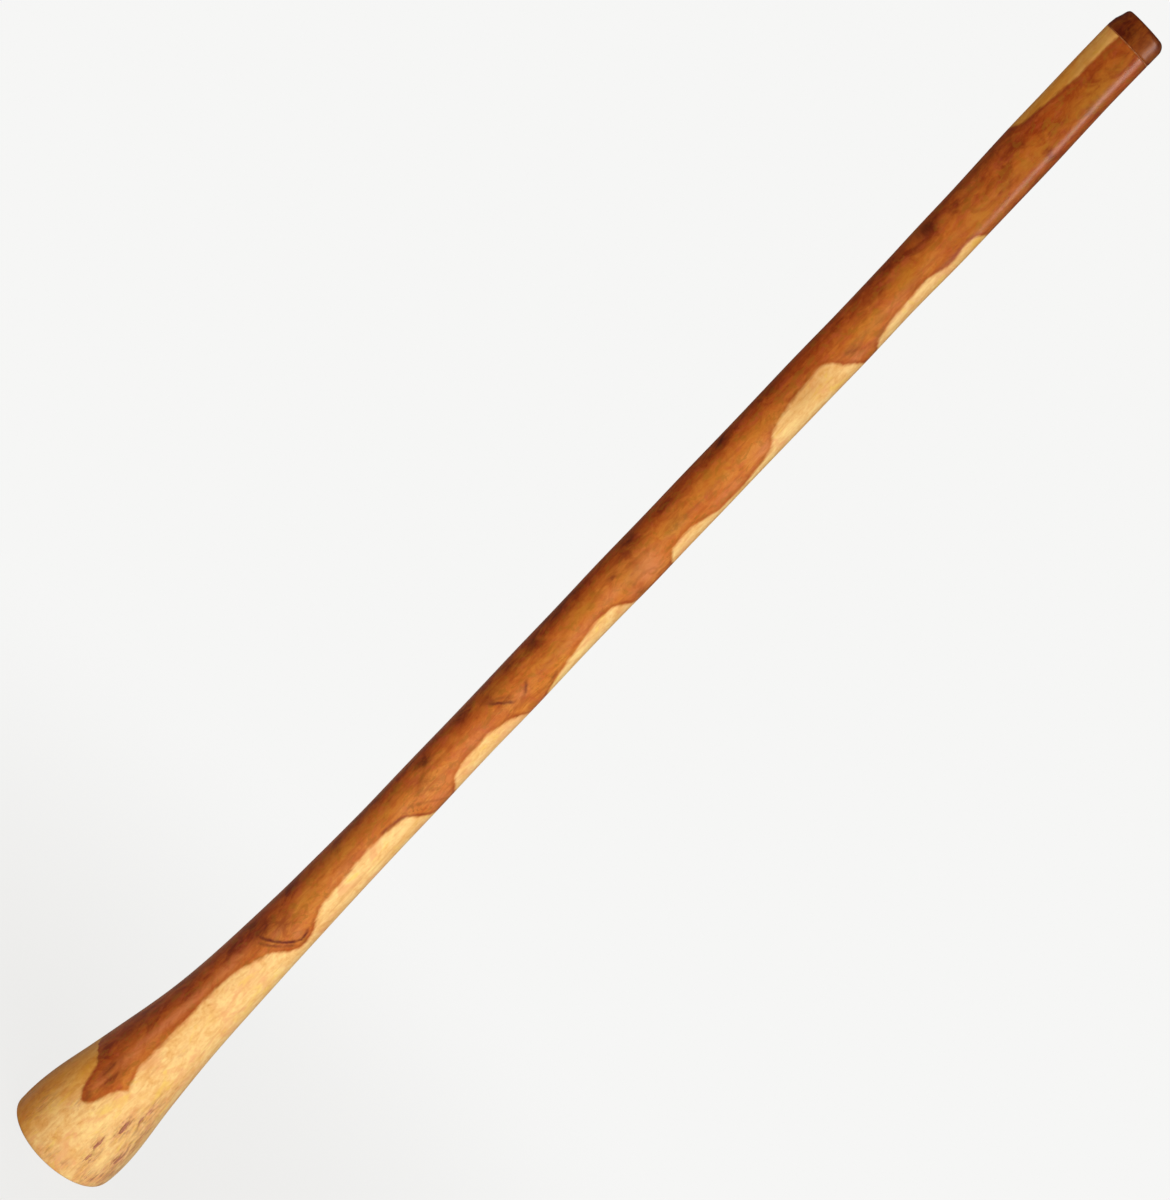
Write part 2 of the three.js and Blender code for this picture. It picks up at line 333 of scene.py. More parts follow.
class Shader:
    """One node material, with a short call for each kind of node that it links.

    mix and ramp take colours as the eye reads them on a screen, three numbers from 0 to 255.
    """

    def __init__(self, name, **surface):
        self.material = bpy.data.materials.new(name)
        self.material.use_nodes = True
        self.tree = self.material.node_tree
        self.surface = self.tree.nodes["Principled BSDF"]
        self.grain = self.node("ShaderNodeAttribute", attribute_name="grain").outputs["Vector"]
        for socket, value in surface.items():
            self.surface.inputs[socket.replace("_", " ")].default_value = value

    def put(self, socket, value):
        if isinstance(value, bpy.types.NodeSocket):
            self.tree.links.new(value, socket)
        else:
            socket.default_value = value

    def node(self, kind, inputs=(), **settings):
        made = self.tree.nodes.new(kind)
        for key, value in settings.items():
            setattr(made, key, value)
        for key, value in dict(inputs).items():
            self.put(made.inputs[key], value)
        return made

    def value(self, name):
        return self.node("ShaderNodeAttribute", attribute_name=name).outputs["Fac"]

    def noise(self, vector, scale, detail=3.0, roughness=0.55, distortion=0.0):
        inputs = {"Vector": vector, "Scale": scale, "Detail": detail,
                  "Roughness": roughness, "Distortion": distortion}
        return self.node("ShaderNodeTexNoise", inputs).outputs["Fac"]

    def grained(self, along, *noise):
        """Noise in the wood, drawn out along the grain: the smaller along is, the longer."""
        inputs = {"Vector": self.grain, "Scale": (1, 1, along)}
        return self.noise(self.node("ShaderNodeMapping", inputs).outputs["Vector"], *noise)

    def math(self, operation, a, b=0.0, c=0.0):
        return self.node("ShaderNodeMath", {0: a, 1: b, 2: c}, operation=operation).outputs[0]

    def times(self, a, b):
        return self.math("MULTIPLY", a, b)

    def plus(self, a, b):
        return self.math("ADD", a, b)

    def remap(self, value, low, high, to_low=0.0, to_high=1.0):
        inputs = {"Value": value, "From Min": low, "From Max": high,
                  "To Min": to_low, "To Max": to_high}
        return self.node("ShaderNodeMapRange", inputs, interpolation_type="SMOOTHSTEP").outputs[0]

    def mix(self, share, a, b, blend="MIX"):
        made = self.node("ShaderNodeMix", data_type="RGBA", blend_type=blend)
        self.put(made.inputs[0], share)
        for index, value in ((6, a), (7, b)):
            self.put(made.inputs[index], linear(value) if isinstance(value, tuple) else value)
        return made.outputs[2]

    def ramp(self, value, stops):
        made = self.node("ShaderNodeValToRGB", {"Fac": value})
        elements = made.color_ramp.elements
        while len(elements) < len(stops):
            elements.new(0.5)
        for element, (place, colour) in zip(elements, stops):
            element.position = place
            element.color = linear(colour)
        return made.outputs["Color"]

    def bump(self, height, distance, strength=1.0):
        inputs = {"Height": height, "Distance": distance, "Strength": strength}
        return self.node("ShaderNodeBump", inputs).outputs["Normal"]

    def finish(self, colour, roughness=None, normal=None):
        self.put(self.surface.inputs["Base Color"], colour)
        if roughness is not None:
            self.put(self.surface.inputs["Roughness"], roughness)
        if normal is not None:
            self.put(self.surface.inputs["Normal"], normal)
        return self.material


def log_material():
    """Varnished heartwood and sapwood. The heart attribute is the way into the heartwood, in mm."""
    s = Shader("log_wood", Coat_Weight=0.45, Coat_Roughness=0.27, Coat_IOR=1.5,
               Specular_IOR_Level=0.12)
    fibre = s.grained(0.05, 900, 4, 0.6)
    streak = s.grained(0.1, 240, 4, 0.6, 0.4)
    mottle = s.grained(0.5, 120, 5, 0.65, 0.8)
    drift = s.grained(0.5, 26, 3, 0.5, 0.5)
    speck = s.grained(0.6, 330, 3, 0.7)
    # Painted light and shade: the share of each place painted as lit, read by both woods.
    painted_light = s.value("painted_light")

    # The border wanders a little and frays along the grain.
    wander = s.math("MULTIPLY_ADD", s.grained(0.5, 160, 3), 4.4, -2.2)
    fray = s.math("MULTIPLY_ADD", fibre, 2.4, -1.2)
    inside = s.plus(s.value("heart"), s.plus(wander, fray))
    is_heart = s.remap(inside, -2.4, 2.0)

    heart_colour = heartwood(s, mottle, drift, streak, speck, painted_light)
    heart_colour = dark_figure(s, heart_colour, mottle, inside)
    pale = sapwood(s, mottle, drift, streak, speck, painted_light)

    colour = s.mix(is_heart, pale, heart_colour)
    pore = s.remap(fibre, 0.60, 0.74, 0.0, 0.3)
    colour = s.mix(pore, colour, s.mix(1.0, colour, (190, 150, 120), "MULTIPLY"))
    roughness = s.remap(streak, 0.35, 0.7, 0.3, 0.45)
    relief = s.plus(s.times(fibre, 0.6), s.times(mottle, 0.8))
    return s.finish(colour, roughness, s.bump(relief, 0.0002, 0.25))


def heartwood(s, mottle, drift, streak, speck, painted_light):
    """Red-brown where painted shade falls and golden where painted light falls, and darker towards the
    top.
    """
    tone = s.plus(s.times(mottle, 0.5), s.times(drift, 0.35))
    tone = s.plus(tone, s.times(speck, 0.15))
    # A shaded and a lit copy of the same wood, for painted shade and painted light.
    shaded = s.ramp(tone, [(0.32, (128, 40, 10)), (0.43, (158, 64, 16)), (0.52, (174, 82, 24)),
                           (0.62, (186, 100, 34)), (0.76, (182, 108, 36))])
    painted_lit_gold = s.ramp(tone, [(0.30, (170, 80, 28)), (0.42, (194, 104, 40)), (0.52, (206, 124, 50)),
                           (0.62, (214, 142, 62)), (0.76, (208, 146, 58))])
    colour = s.mix(painted_light, shaded, painted_lit_gold)
    colour = s.mix(s.remap(streak, 0.46, 0.68, 0.0, 0.4), colour, (144, 62, 20))
    # Dark clouds, kept to the side with painted shade.
    cloud = s.grained(0.55, 62, 4, 0.6, 0.6)
    shade_side_clouds = s.times(s.remap(cloud, 0.5, 0.66, 0.0, 0.75), s.remap(painted_light, 0.6, 0.0))
    colour = s.mix(shade_side_clouds, colour, (120, 36, 10))
    rosy = s.grained(0.55, 150, 4, 0.65, 0.6)
    colour = s.mix(s.remap(rosy, 0.5, 0.66, 0.0, 0.4), colour, (190, 88, 54))
    olive = s.grained(0.55, 170, 4, 0.65, 0.6)
    colour = s.mix(s.remap(olive, 0.5, 0.64, 0.0, 0.6), colour, (156, 100, 26))
    blush = s.times(s.value("blush"), s.remap(mottle, 0.3, 0.6, 0.5, 1.0))
    colour = s.mix(blush, colour, (214, 132, 84))
    gold = s.times(s.value("gold"), s.remap(mottle, 0.3, 0.6, 0.3, 0.9))
    return s.mix(gold, colour, (184, 124, 36))


def dark_figure(s, colour, mottle, inside):
    """Dark clouds, partly painted shade, the lines that curl round the knots, and a thin line inside
    the border.
    """
    dark = s.times(s.value("dark"), s.remap(mottle, 0.64, 0.4, 0.4, 1.0))
    colour = s.mix(dark, colour, (92, 30, 14))
    ragged = s.math("MULTIPLY_ADD", s.noise(s.grain, 300, 3, 0.5), 2.4, -1.2)
    broken = s.remap(s.noise(s.grain, 120, 2), 0.35, 0.6, 0.65, 1.0)
    for name in CURL_LAYERS:
        curl = s.math("ABSOLUTE", s.plus(s.value(name), ragged))
        line = s.times(s.remap(curl, 2.7, 0.1), s.value(name + "_strength"))
        colour = s.mix(s.times(line, broken), colour, (100, 38, 24))
    rim = s.times(s.remap(inside, 0.2, 1.6), s.remap(inside, 5.5, 2.0))
    rim = s.times(rim, s.math("MULTIPLY_ADD", s.value("cusp"), 0.35, 0.25))
    return s.mix(s.times(rim, broken), colour, (146, 56, 24))


def sapwood(s, mottle, drift, streak, speck, painted_light):
    """Pale gold with peach and yellow clouds, and amber painted shade away from the painted light and
    under the dark patches.
    """
    tone = s.plus(s.times(mottle, 0.5), s.times(drift, 0.25))
    tone = s.plus(tone, s.times(speck, 0.25))
    colour = s.ramp(tone, [(0.32, (214, 148, 78)), (0.43, (236, 184, 112)),
                           (0.53, (246, 206, 138)), (0.66, (252, 226, 150))])
    peach = s.remap(s.grained(0.5, 60, 4, 0.6, 0.9), 0.5, 0.66, 0.0, 0.6)
    colour = s.mix(peach, colour, (238, 172, 118))
    lemon = s.remap(s.grained(0.5, 75, 4, 0.6, 0.9), 0.54, 0.68, 0.0, 0.6)
    colour = s.mix(lemon, colour, (244, 208, 104))
    colour = s.mix(s.remap(streak, 0.5, 0.72, 0.0, 0.45), colour, (214, 152, 84))
    # Painted shade: amber on the side away from the painted light.
    shade = s.times(s.remap(painted_light, 0.6, 0.0), s.remap(drift, 0.38, 0.64, 0.9, 0.5))
    colour = s.mix(shade, colour, s.mix(1.0, colour, (240, 206, 118), "MULTIPLY"))
    # The dark patches, in amber: mostly painted shade.
    colour = s.mix(s.times(s.value("dark"), 0.75), colour, (182, 114, 32))
    return weathered(s, colour)


def weathered(s, colour):
    """Pink and olive clouds and dirty flecks, where the stain attribute says."""
    stain = s.value("stain")
    fleck = s.grained(0.16, 420, 4, 0.65, 0.4)
    colour = s.mix(s.times(stain, 0.3), colour, (206, 146, 92))
    pink = s.grained(0.35, 210, 4, 0.65, 0.6)
    pink = s.times(stain, s.remap(pink, 0.48, 0.62, 0.0, 0.7))
    colour = s.mix(pink, colour, (222, 152, 128))
    olive = s.grained(0.3, 260, 4, 0.65, 0.6)
    olive = s.times(stain, s.remap(olive, 0.46, 0.62))
    colour = s.mix(s.times(olive, 0.8), colour, (184, 136, 72))
    dirty = s.times(stain, s.remap(fleck, 0.48, 0.62))
    return s.mix(s.times(dirty, 0.9), colour, (148, 88, 66))


def bore_material():
    """The raw channel inside, eaten out by insects and left rough."""
    s = Shader("bore_wood", Specular_IOR_Level=0.2)
    trail = s.grained(0.12, 210, 5, 0.65, 0.8)
    crumb = s.grained(0.6, 900, 3)
    colour = s.ramp(trail, [(0.3, (74, 40, 22)), (0.48, (128, 78, 42)),
                            (0.6, (170, 116, 66)), (0.75, (198, 148, 92))])
    colour = s.mix(s.remap(crumb, 0.5, 0.7, 0.0, 0.5), colour, (66, 38, 22))
    relief = s.plus(trail, s.times(crumb, 0.3))
    return s.finish(colour, s.remap(crumb, 0.3, 0.7, 0.75, 0.95), s.bump(relief, 0.0012, 0.8))


def end_grain_material():
    """The sawn ring under the bell: growth rings and pores, under thin varnish."""
    s = Shader("end_grain", Coat_Weight=0.2, Coat_Roughness=0.35)
    ring = s.value("ring")
    wobble = s.noise(s.grain, 60, 3)
    line = s.math("SINE", s.math("MULTIPLY_ADD", wobble, 9.0, s.times(ring, 5.2)))
    pore = s.noise(s.grain, 1900, 2, 0.6)
    colour = s.mix(s.remap(line, 0.2, 0.95, 0.0, 0.6), (226, 172, 104), (176, 112, 58))
    colour = s.mix(s.remap(pore, 0.58, 0.7, 0.0, 0.7), colour, (112, 66, 34))
    relief = s.math("SUBTRACT", line, s.times(pore, 2.0))
    return s.finish(colour, s.remap(pore, 0.4, 0.7, 0.45, 0.65), s.bump(relief, 0.0002, 0.6))


def mouthpiece_material():
    """Dark turned hardwood under the same varnish as the log, with painted light on one side and dark
    patches that are partly painted shade.
    """
    s = Shader("mouthpiece_wood", Coat_Weight=0.4, Coat_Roughness=0.34, Coat_IOR=1.5,
               Specular_IOR_Level=0.12)
    fibre = s.grained(0.05, 900, 4, 0.6)
    cloud = s.grained(0.6, 95, 4, 0.6, 0.7)
    colour = s.ramp(cloud, [(0.3, (80, 18, 4)), (0.45, (118, 42, 8)),
                            (0.58, (140, 68, 14)), (0.74, (152, 88, 22))])
    colour = s.mix(s.remap(fibre, 0.5, 0.7, 0.0, 0.5), colour, (64, 14, 5))
    # Painted light: gold where its patches lie.
    painted_lit_gold = s.times(s.value("painted_light"), s.remap(cloud, 0.3, 0.6, 0.4, 0.9))
    colour = s.mix(painted_lit_gold, colour, (158, 88, 34))
    # Dark patches: partly the wood's tone, partly painted shade.
    dark = s.times(s.value("dark"), s.remap(cloud, 0.64, 0.4, 0.5, 1.0))
    colour = s.mix(dark, colour, (74, 16, 4))
    relief = s.plus(fibre, s.times(cloud, 0.6))
    return s.finish(colour, s.remap(cloud, 0.3, 0.7, 0.3, 0.42), s.bump(relief, 0.0002, 0.25))


def wax_material():
    s = Shader("beeswax", Subsurface_Weight=0.25, Subsurface_Scale=0.003, IOR=1.44)
    s.surface.inputs["Subsurface Radius"].default_value = (1.0, 0.5, 0.2)
    lump = s.noise(s.grain, 260, 4, 0.6)
    grime = s.noise(s.grain, 900, 3, 0.7)
    colour = s.ramp(lump, [(0.3, (146, 80, 44)), (0.5, (172, 102, 58)), (0.7, (194, 128, 78))])
    colour = s.mix(s.remap(grime, 0.58, 0.75, 0.0, 0.4), colour, (110, 54, 26))
    return s.finish(colour, s.remap(lump, 0.3, 0.7, 0.38, 0.6), s.bump(lump, 0.0008, 0.7))


def resin_material():
    """Dark resin with dust and wood fibres in it."""
    s = Shader("check_resin", Coat_Weight=0.3, Coat_Roughness=0.25)
    cloud = s.grained(0.2, 500, 4, 0.6)
    dust = s.noise(s.grain, 2600, 2)
    colour = s.ramp(cloud, [(0.3, (132, 76, 60)), (0.48, (172, 110, 84)), (0.66, (212, 154, 112))])
    colour = s.mix(s.remap(dust, 0.56, 0.7, 0.0, 0.6), colour, (214, 160, 116))
    return s.finish(colour, s.remap(cloud, 0.3, 0.7, 0.3, 0.5), s.bump(cloud, 0.0004, 0.6))


# ---------------------------------------------------------------- the figure in the wood

# The heartwood's border, as height in mm and bearing in degrees. First the side towards +X,
# scallop by scallop from the tongue's tip upwards, then the side towards -X.
HEART_EDGE_RIGHT = [
    (66, -21), (70, -12), (82, -6), (95, -1), (104, 8), (113, 4), (127, -3), (160, -6), (225, -12),
    (250, -8), (272, 2), (288, 13), (297, 31), (305, 46), (316, 51), (327, 46), (337, 33),
    (352, 21), (380, 15), (425, 9), (452, 14), (466, 21), (472, 36), (479, 62), (490, 92),
    (500, 104), (508, 92), (516, 60), (525, 40), (545, 28), (570, 27), (592, 37), (604, 52),
    (612, 84), (620, 102), (628, 92), (640, 66), (652, 57), (670, 47), (694, 36), (718, 27),
    (733, 31), (742, 46), (749, 74), (756, 98), (776, 110), (795, 94), (801, 58), (812, 39),
    (832, 35), (848, 47), (864, 61), (885, 63), (908, 57), (932, 42), (943, 19), (958, 9), (985, 0),
    (1008, -4), (1019, 4), (1026, 28), (1034, 52), (1040, 84), (1047, 98), (1053, 84), (1060, 55),
    (1076, 43), (1104, 36), (1124, 33), (1138, 41), (1149, 50), (1160, 48), (1171, 42), (1181, 50),
    (1188, 78), (1200, 104), (1250, 118), (1310, 110), (1376, 116),
]
HEART_EDGE_LEFT = [
    (66, -21), (75, -29), (87, -36), (97, -43), (101, -60), (104, -82), (114, -112), (138, -142),
    (205, -160), (275, -146), (300, -132), (318, -150), (380, -176), (455, -170), (500, -146),
    (540, -166), (640, -180), (700, -168), (742, -144), (775, -160), (880, -178), (960, -170),
    (1004, -148), (1040, -164), (1130, -176), (1190, -158), (1232, -124), (1262, -82), (1273, -52),
    (1300, -41), (1325, -33), (1350, -30), (1376, -26),
]
# Cusps of the border, where a branch grew: height in mm and bearing in degrees.
CUSPS = [(314, 50), (499, 104), (618, 60), (757, 30), (776, 100), (1044, 70), (1150, 64),
         (1150, -45), (300, -134), (500, -148), (742, -146), (1004, -150)]
# How far a cusp's swelling and its parting of the grain reach, in mm and in square mm. Both reach
# further along the grain.
CUSP_REACH = 26.0
CUSP_STRETCH = 1.35
GRAIN_PARTING = 110.0
GRAIN_STRETCH = 1.5
# The border is worked out at every EDGE_STEP mm, and distances to it use every third of those
# places. They are searched a slab at a time, and no further than FAR.
EDGE_STEP = 0.25
EDGE_SKIP = 3
FAR = 45.0
SLAB = 12.0
# Dark lines in the heartwood round the knots: a strength, then heights and bearings as above.
# Lines that run close side by side are in different layers.
CURL_LAYERS = {
    "curl": [
        (1.0, [(289, -34), (292, -18), (296, -5), (300, 6), (304, 17), (309, 28), (315, 37),
               (322, 37), (331, 27)]),
        (1.0, [(592, -22), (599, -11), (605, 2), (610, 13), (616, 22)]),
        (0.9, [(620, 26), (625, 21), (630, 12), (637, 0)]),
        (0.22, [(484, -6), (494, 4), (504, 22), (510, 44)]),
        (0.7, [(645, 52), (651, 46), (662, 41)]),
        (0.8, [(747, -16), (753, -13), (760, -14)]),
        (0.25, [(756, 40), (762, 30), (772, 26), (782, 32), (790, 45)]),
        (0.25, [(1030, 10), (1038, 20), (1046, 26), (1054, 20), (1062, 12)]),
        (0.15, [(1142, 30), (1150, 42), (1160, 40), (1168, 30)]),
        (0.7, [(296, -176), (303, -156), (308, -134), (303, -112), (296, -96)]),
        (0.7, [(496, -180), (503, -162), (508, -146), (503, -130), (495, -114)]),
        (0.6, [(738, -178), (745, -162), (750, -146), (745, -128), (737, -112)]),
        (0.6, [(1000, -182), (1007, -166), (1012, -150), (1007, -134), (999, -118)]),
        (0.6, [(490, 76), (497, 90), (500, 104), (503, 90), (511, 76)]),
        (0.6, [(766, 84), (774, 94), (778, 106), (783, 94), (790, 82)]),
    ],
    "curl_beside": [
        (0.6, [(284, -24), (289, -8), (294, 5), (299, 18), (305, 31), (311, 42)]),
        (0.4, [(588, -30), (596, -22), (604, -12), (612, 0), (618, 12)]),
        (0.28, [(470, 6), (480, 14), (490, 30), (498, 52), (504, 76)]),
        (0.6, [(436, 6), (452, 8), (464, 14), (471, 24), (476, 40), (482, 60)]),
        (0.15, [(940, -10), (946, 0), (944, 12), (936, 24)]),
        (0.5, [(300, -170), (309, -152), (315, -134), (309, -116), (302, -102)]),
        (0.5, [(500, -174), (510, -160), (515, -146), (510, -132), (500, -118)]),
    ],
}
# A curl fades out over CURL_END at each end, and reaches no further than CURL_REACH up or down, in mm.
CURL_END = 8.0
CURL_REACH = 40.0
# The side painted paler, as painted light, with painted shade towards the far side and the top: its
# bearing, the cosines of the turn from it between which the share grows, and the heights in mm
# between which it fades out.
PAINTED_LIGHT_SIDE = math.radians(36)
PAINTED_LIGHT_RANGE = (0.08, 1.0)
PAINTED_LIGHT_TOP = (930, 1330)
# Soft patches: height and bearing, then half length and half width in mm, then strength.
# Dark patches: partly dark blotches in the wood, partly painted shade on the side away from the
# painted light, on the bell's left and towards the top.
DARK_AND_SHADE_PATCHES = [
    (297, -32, 15, 9, 0.8), (290, -58, 14, 9, 0.6), (338, -60, 34, 8, 0.5), (514, -38, 9, 7, 0.9),
    (566, -52, 14, 7, 0.8), (607, 8, 7, 4, 0.5), (598, -28, 14, 6, 0.55), (632, -52, 11, 7, 0.7),
    (664, -50, 13, 9, 0.8), (694, -64, 22, 9, 1.0), (612, 30, 14, 6, 0.3), (785, -50, 10, 8, 0.95),
    (316, 8, 14, 5, 0.3), (314, -12, 16, 13, 0.5), (776, -32, 14, 7, 0.55), (758, -16, 8, 5, 0.5),
    (762, 65, 7, 6, 0.6), (716, -60, 10, 7, 0.7), (776, -18, 20, 15, 0.25), (828, 2, 12, 6, 0.5),
    (842, -40, 18, 7, 0.35), (905, -58, 12, 9, 1.0), (888, -52, 14, 7, 0.6), (960, -62, 26, 8, 0.5),
    (1040, 21, 6, 5, 0.5), (1156, -46, 14, 9, 0.9), (1140, -30, 10, 7, 0.4),
    (1110, -56, 26, 7, 0.5), (1080, -24, 22, 7, 0.3), (1225, -60, 50, 9, 0.5),
    (1200, -24, 26, 8, 0.3), (1250, -20, 30, 8, 0.25), (502, -6, 12, 8, 0.42),
    (440, -64, 40, 7, 0.45), (104, -27, 13, 3, 0.85), (100, -15, 15, 3, 0.8), (80, -26, 9, 4, 0.45),
    (74, -18, 6, 3, 0.65), (150, -56, 34, 9, 0.42), (215, -60, 30, 9, 0.36), (262, -48, 16, 8, 0.4),
    (985, 13, 32, 9, 0.7), (1340, -41, 44, 4, 0.75), (1352, -8, 50, 20, 0.22),
    (1290, -50, 22, 6, 0.6), (1345, -86, 40, 5, 0.1), (55, -84, 50, 9, 0.85),
    (300, -132, 16, 9, 0.6), (500, -146, 16, 8, 0.6), (744, -146, 15, 8, 0.5),
    (1005, -150, 15, 8, 0.6), (420, 150, 40, 9, 0.4), (650, 160, 30, 8, 0.4),
    (900, 140, 40, 9, 0.4), (1290, 130, 40, 8, 0.4),
]
BLUSH_PATCHES = [
    (180, -24, 55, 4, 0.75), (250, -24, 26, 5, 0.5), (92, -21, 12, 3, 0.5), (128, -20, 16, 4, 0.6),
    (780, 28, 18, 11, 1.0), (500, 46, 14, 8, 0.5), (1225, 56, 34, 6, 0.12), (760, 44, 10, 7, 0.5),
    (742, 8, 14, 6, 0.4), (928, 32, 14, 5, 0.8), (880, 40, 22, 6, 0.5), (622, 20, 6, 6, 0.45),
    (520, 30, 18, 7, 0.4), (470, 0, 12, 4, 0.2), (1040, 36, 10, 6, 0.5), (305, -6, 9, 4, 0.4),
    (318, 24, 6, 4, 0.5), (560, 12, 20, 6, 0.35), (700, 20, 22, 5, 0.35), (400, 0, 30, 5, 0.3),
    (1090, 22, 26, 5, 0.35),
]
GOLD_PATCHES = [
    (348, -8, 22, 8, 0.5), (400, -34, 40, 9, 0.5), (458, -16, 22, 8, 0.5), (610, -38, 26, 7, 0.4),
    (668, 8, 30, 8, 0.6), (716, -12, 22, 8, 0.6), (770, 12, 18, 8, 0.6), (820, 6, 24, 7, 0.5),
    (880, -2, 30, 8, 0.5), (938, -8, 14, 6, 0.5), (1060, 10, 26, 7, 0.5), (1118, -4, 18, 8, 0.7),
    (1200, 20, 34, 8, 0.6), (1225, 56, 40, 7, 0.35), (1262, 18, 34, 9, 0.6),
    (1330, 20, 40, 10, 0.75), (560, 150, 34, 9, 0.6), (360, -170, 30, 9, 0.6),
    (820, 170, 34, 9, 0.6), (1120, 160, 34, 8, 0.6), (1240, -170, 30, 8, 0.6),
]
HEART_PATCHES = {"dark": DARK_AND_SHADE_PATCHES, "gold": GOLD_PATCHES, "blush": BLUSH_PATCHES}
STAIN_PATCHES = [
    (38, 56, 30, 7, 1.0), (32, 30, 16, 5, 0.7), (46, 22, 10, 4, 0.6), (92, 49, 22, 7, 0.8),
    (72, 34, 16, 4, 0.8), (12, 46, 9, 9, 0.9), (20, 68, 22, 9, 1.0), (62, 66, 34, 7, 0.9),
    (12, 4, 8, 16, 0.45), (32, -44, 22, 11, 0.4), (62, -20, 9, 6, 0.35), (22, -70, 12, 7, 0.45),
    (120, 60, 20, 5, 0.3), (160, 22, 14, 4, 0.15), (36, 120, 26, 9, 0.5), (24, 168, 16, 10, 0.5),
    (60, -140, 24, 8, 0.4), (100, 150, 30, 6, 0.3), (30, -100, 16, 9, 0.35), (380, 118, 30, 5, 0.3),
    (860, 96, 26, 5, 0.25), (1090, 84, 24, 4, 0.25),
]


def edge_line(points):
    """A smooth line through a border's points, as arrays of heights (mm) and bearings (rad)."""
    heights, degrees = np.array(points, float).T
    fine = np.arange(heights[0], heights[-1], EDGE_STEP)
    slopes = limited_slopes(heights, degrees)
    i = np.clip(np.searchsorted(heights, fine, side="right") - 1, 0, len(heights) - 2)
    span = heights[i + 1] - heights[i]
    t = (fine - heights[i]) / span
    bearings = ((1 + 2 * t) * (1 - t) ** 2 * degrees[i] + t * (1 - t) ** 2 * span * slopes[i]
                + t * t * (3 - 2 * t) * degrees[i + 1] + t * t * (t - 1) * span * slopes[i + 1])
    return fine, np.radians(bearings)


def limited_slopes(x, y):
    """Slopes for a cubic line that never overshoots its points."""
    rises = np.diff(y) / np.diff(x)
    before, after = rises[:-1], rises[1:]
    total = np.abs(before) + np.abs(after) + 1e-9
    inner = np.where(before * after > 0, 2 * before * after / (total * np.sign(before)), 0)
    return np.concatenate([[rises[0]], inner, [rises[-1]]])


def straight(heights, bearings, radii):
    """Places on the log with its centre line pulled straight, in mm."""
    return np.stack([radii * np.sin(bearings), -radii * np.cos(bearings), heights], axis=-1)


def nearest_distance(places, targets):
    """Distance in mm from each place to its nearest target, in slabs of height to save time."""
    order = np.argsort(targets[:, 2])
    targets = targets[order]
    best = np.full(len(places), FAR)
    slab = np.floor(places[:, 2] / SLAB).astype(int)
    for number in np.unique(slab):
        mine = np.flatnonzero(slab == number)
        low = np.searchsorted(targets[:, 2], number * SLAB - FAR)
        high = np.searchsorted(targets[:, 2], (number + 1) * SLAB + FAR)
        if low < high:
            gaps = places[mine, None] - targets[None, low:high]
            best[mine] = np.minimum(FAR, np.sqrt((gaps ** 2).sum(-1).min(-1)))
    return best


def heart_distance(log, heights, bearings):
    """How far each place on the outside lies inside the heartwood, in mm; outside it is negative."""
    right, left = edge_line(HEART_EDGE_RIGHT), edge_line(HEART_EDGE_LEFT)
    lines = [straight(z, b, log.outer_at(z * MM, b) / MM)[::EDGE_SKIP] for z, b in (right, left)]
    places = straight(heights, bearings, log.outer_at(heights * MM, bearings) / MM)
    distance = nearest_distance(places, np.concatenate(lines))
    right_edge = np.interp(heights, *right)
    left_edge = np.interp(heights, *left)
    tip = HEART_EDGE_RIGHT[0][0]
    turn = (bearings - left_edge) % (2 * np.pi)
    inside = (turn < right_edge - left_edge) & (heights > tip)
    return np.where(inside, distance, -distance)


def turn_from(bearings, bearing):
    """The turn from one bearing to others, between half a turn back and half a turn on."""
    return (bearings - bearing + np.pi) % (2 * np.pi) - np.pi


def patch_strength(patches, heights, bearings, radii):
    strength = np.zeros(len(heights))
    for height, degrees, half_length, half_width, peak in patches:
        along = (heights - height) / half_length
        across = turn_from(bearings, math.radians(degrees)) * radii / half_width
        strength = np.maximum(strength, peak * np.exp(-(along ** 2 + across ** 2)))
    return strength


def painted_light_share(heights, bearings):
    """Painted light: 1 on the side painted as lit, falling to 0, painted shade, before the far side
    and towards the top.
    """
    facing = np.cos(bearings - PAINTED_LIGHT_SIDE)
    share = ease((facing - PAINTED_LIGHT_RANGE[0]) / (PAINTED_LIGHT_RANGE[1] - PAINTED_LIGHT_RANGE[0]))
    return share * (1 - ease((heights - PAINTED_LIGHT_TOP[0]) / (PAINTED_LIGHT_TOP[1] - PAINTED_LIGHT_TOP[0])))


def curl_field(curls, heights, bearings, radii):
    """The signed distance in mm to the nearest curl, and the curl's strength there."""
    offset, strength = np.full(len(heights), FAR), np.zeros(len(heights))
    for peak, points in curls:
        z, b = rounded_line(np.array(points, float))
        middle = np.radians(b.mean())
        near = np.abs(heights - z.mean()) < CURL_REACH
        radius = radii[near].mean()
        place = np.stack([heights[near], turn_from(bearings[near], middle) * radius], -1)
        line = np.stack([z, (np.radians(b) - middle) * radius], -1)
        gaps = place[:, None] - line[None]
        nearest = (gaps ** 2).sum(-1).argmin(-1)
        ahead = np.gradient(line, axis=0)[nearest]
        gap = gaps[np.arange(len(place)), nearest]
        side = np.sign(ahead[:, 0] * gap[:, 1] - ahead[:, 1] * gap[:, 0])
        distance = np.hypot(*gap.T)
        reached = np.concatenate([[0], np.hypot(*np.diff(line, axis=0).T).cumsum()])
        travel = reached[nearest]
        fade = ease(np.minimum(travel, reached[-1] - travel) / CURL_END)
        closer = distance < np.abs(offset[near])
        index = np.flatnonzero(near)[closer]
        offset[index] = (side * distance)[closer]
        strength[index] = (peak * fade)[closer]
    return offset, strength


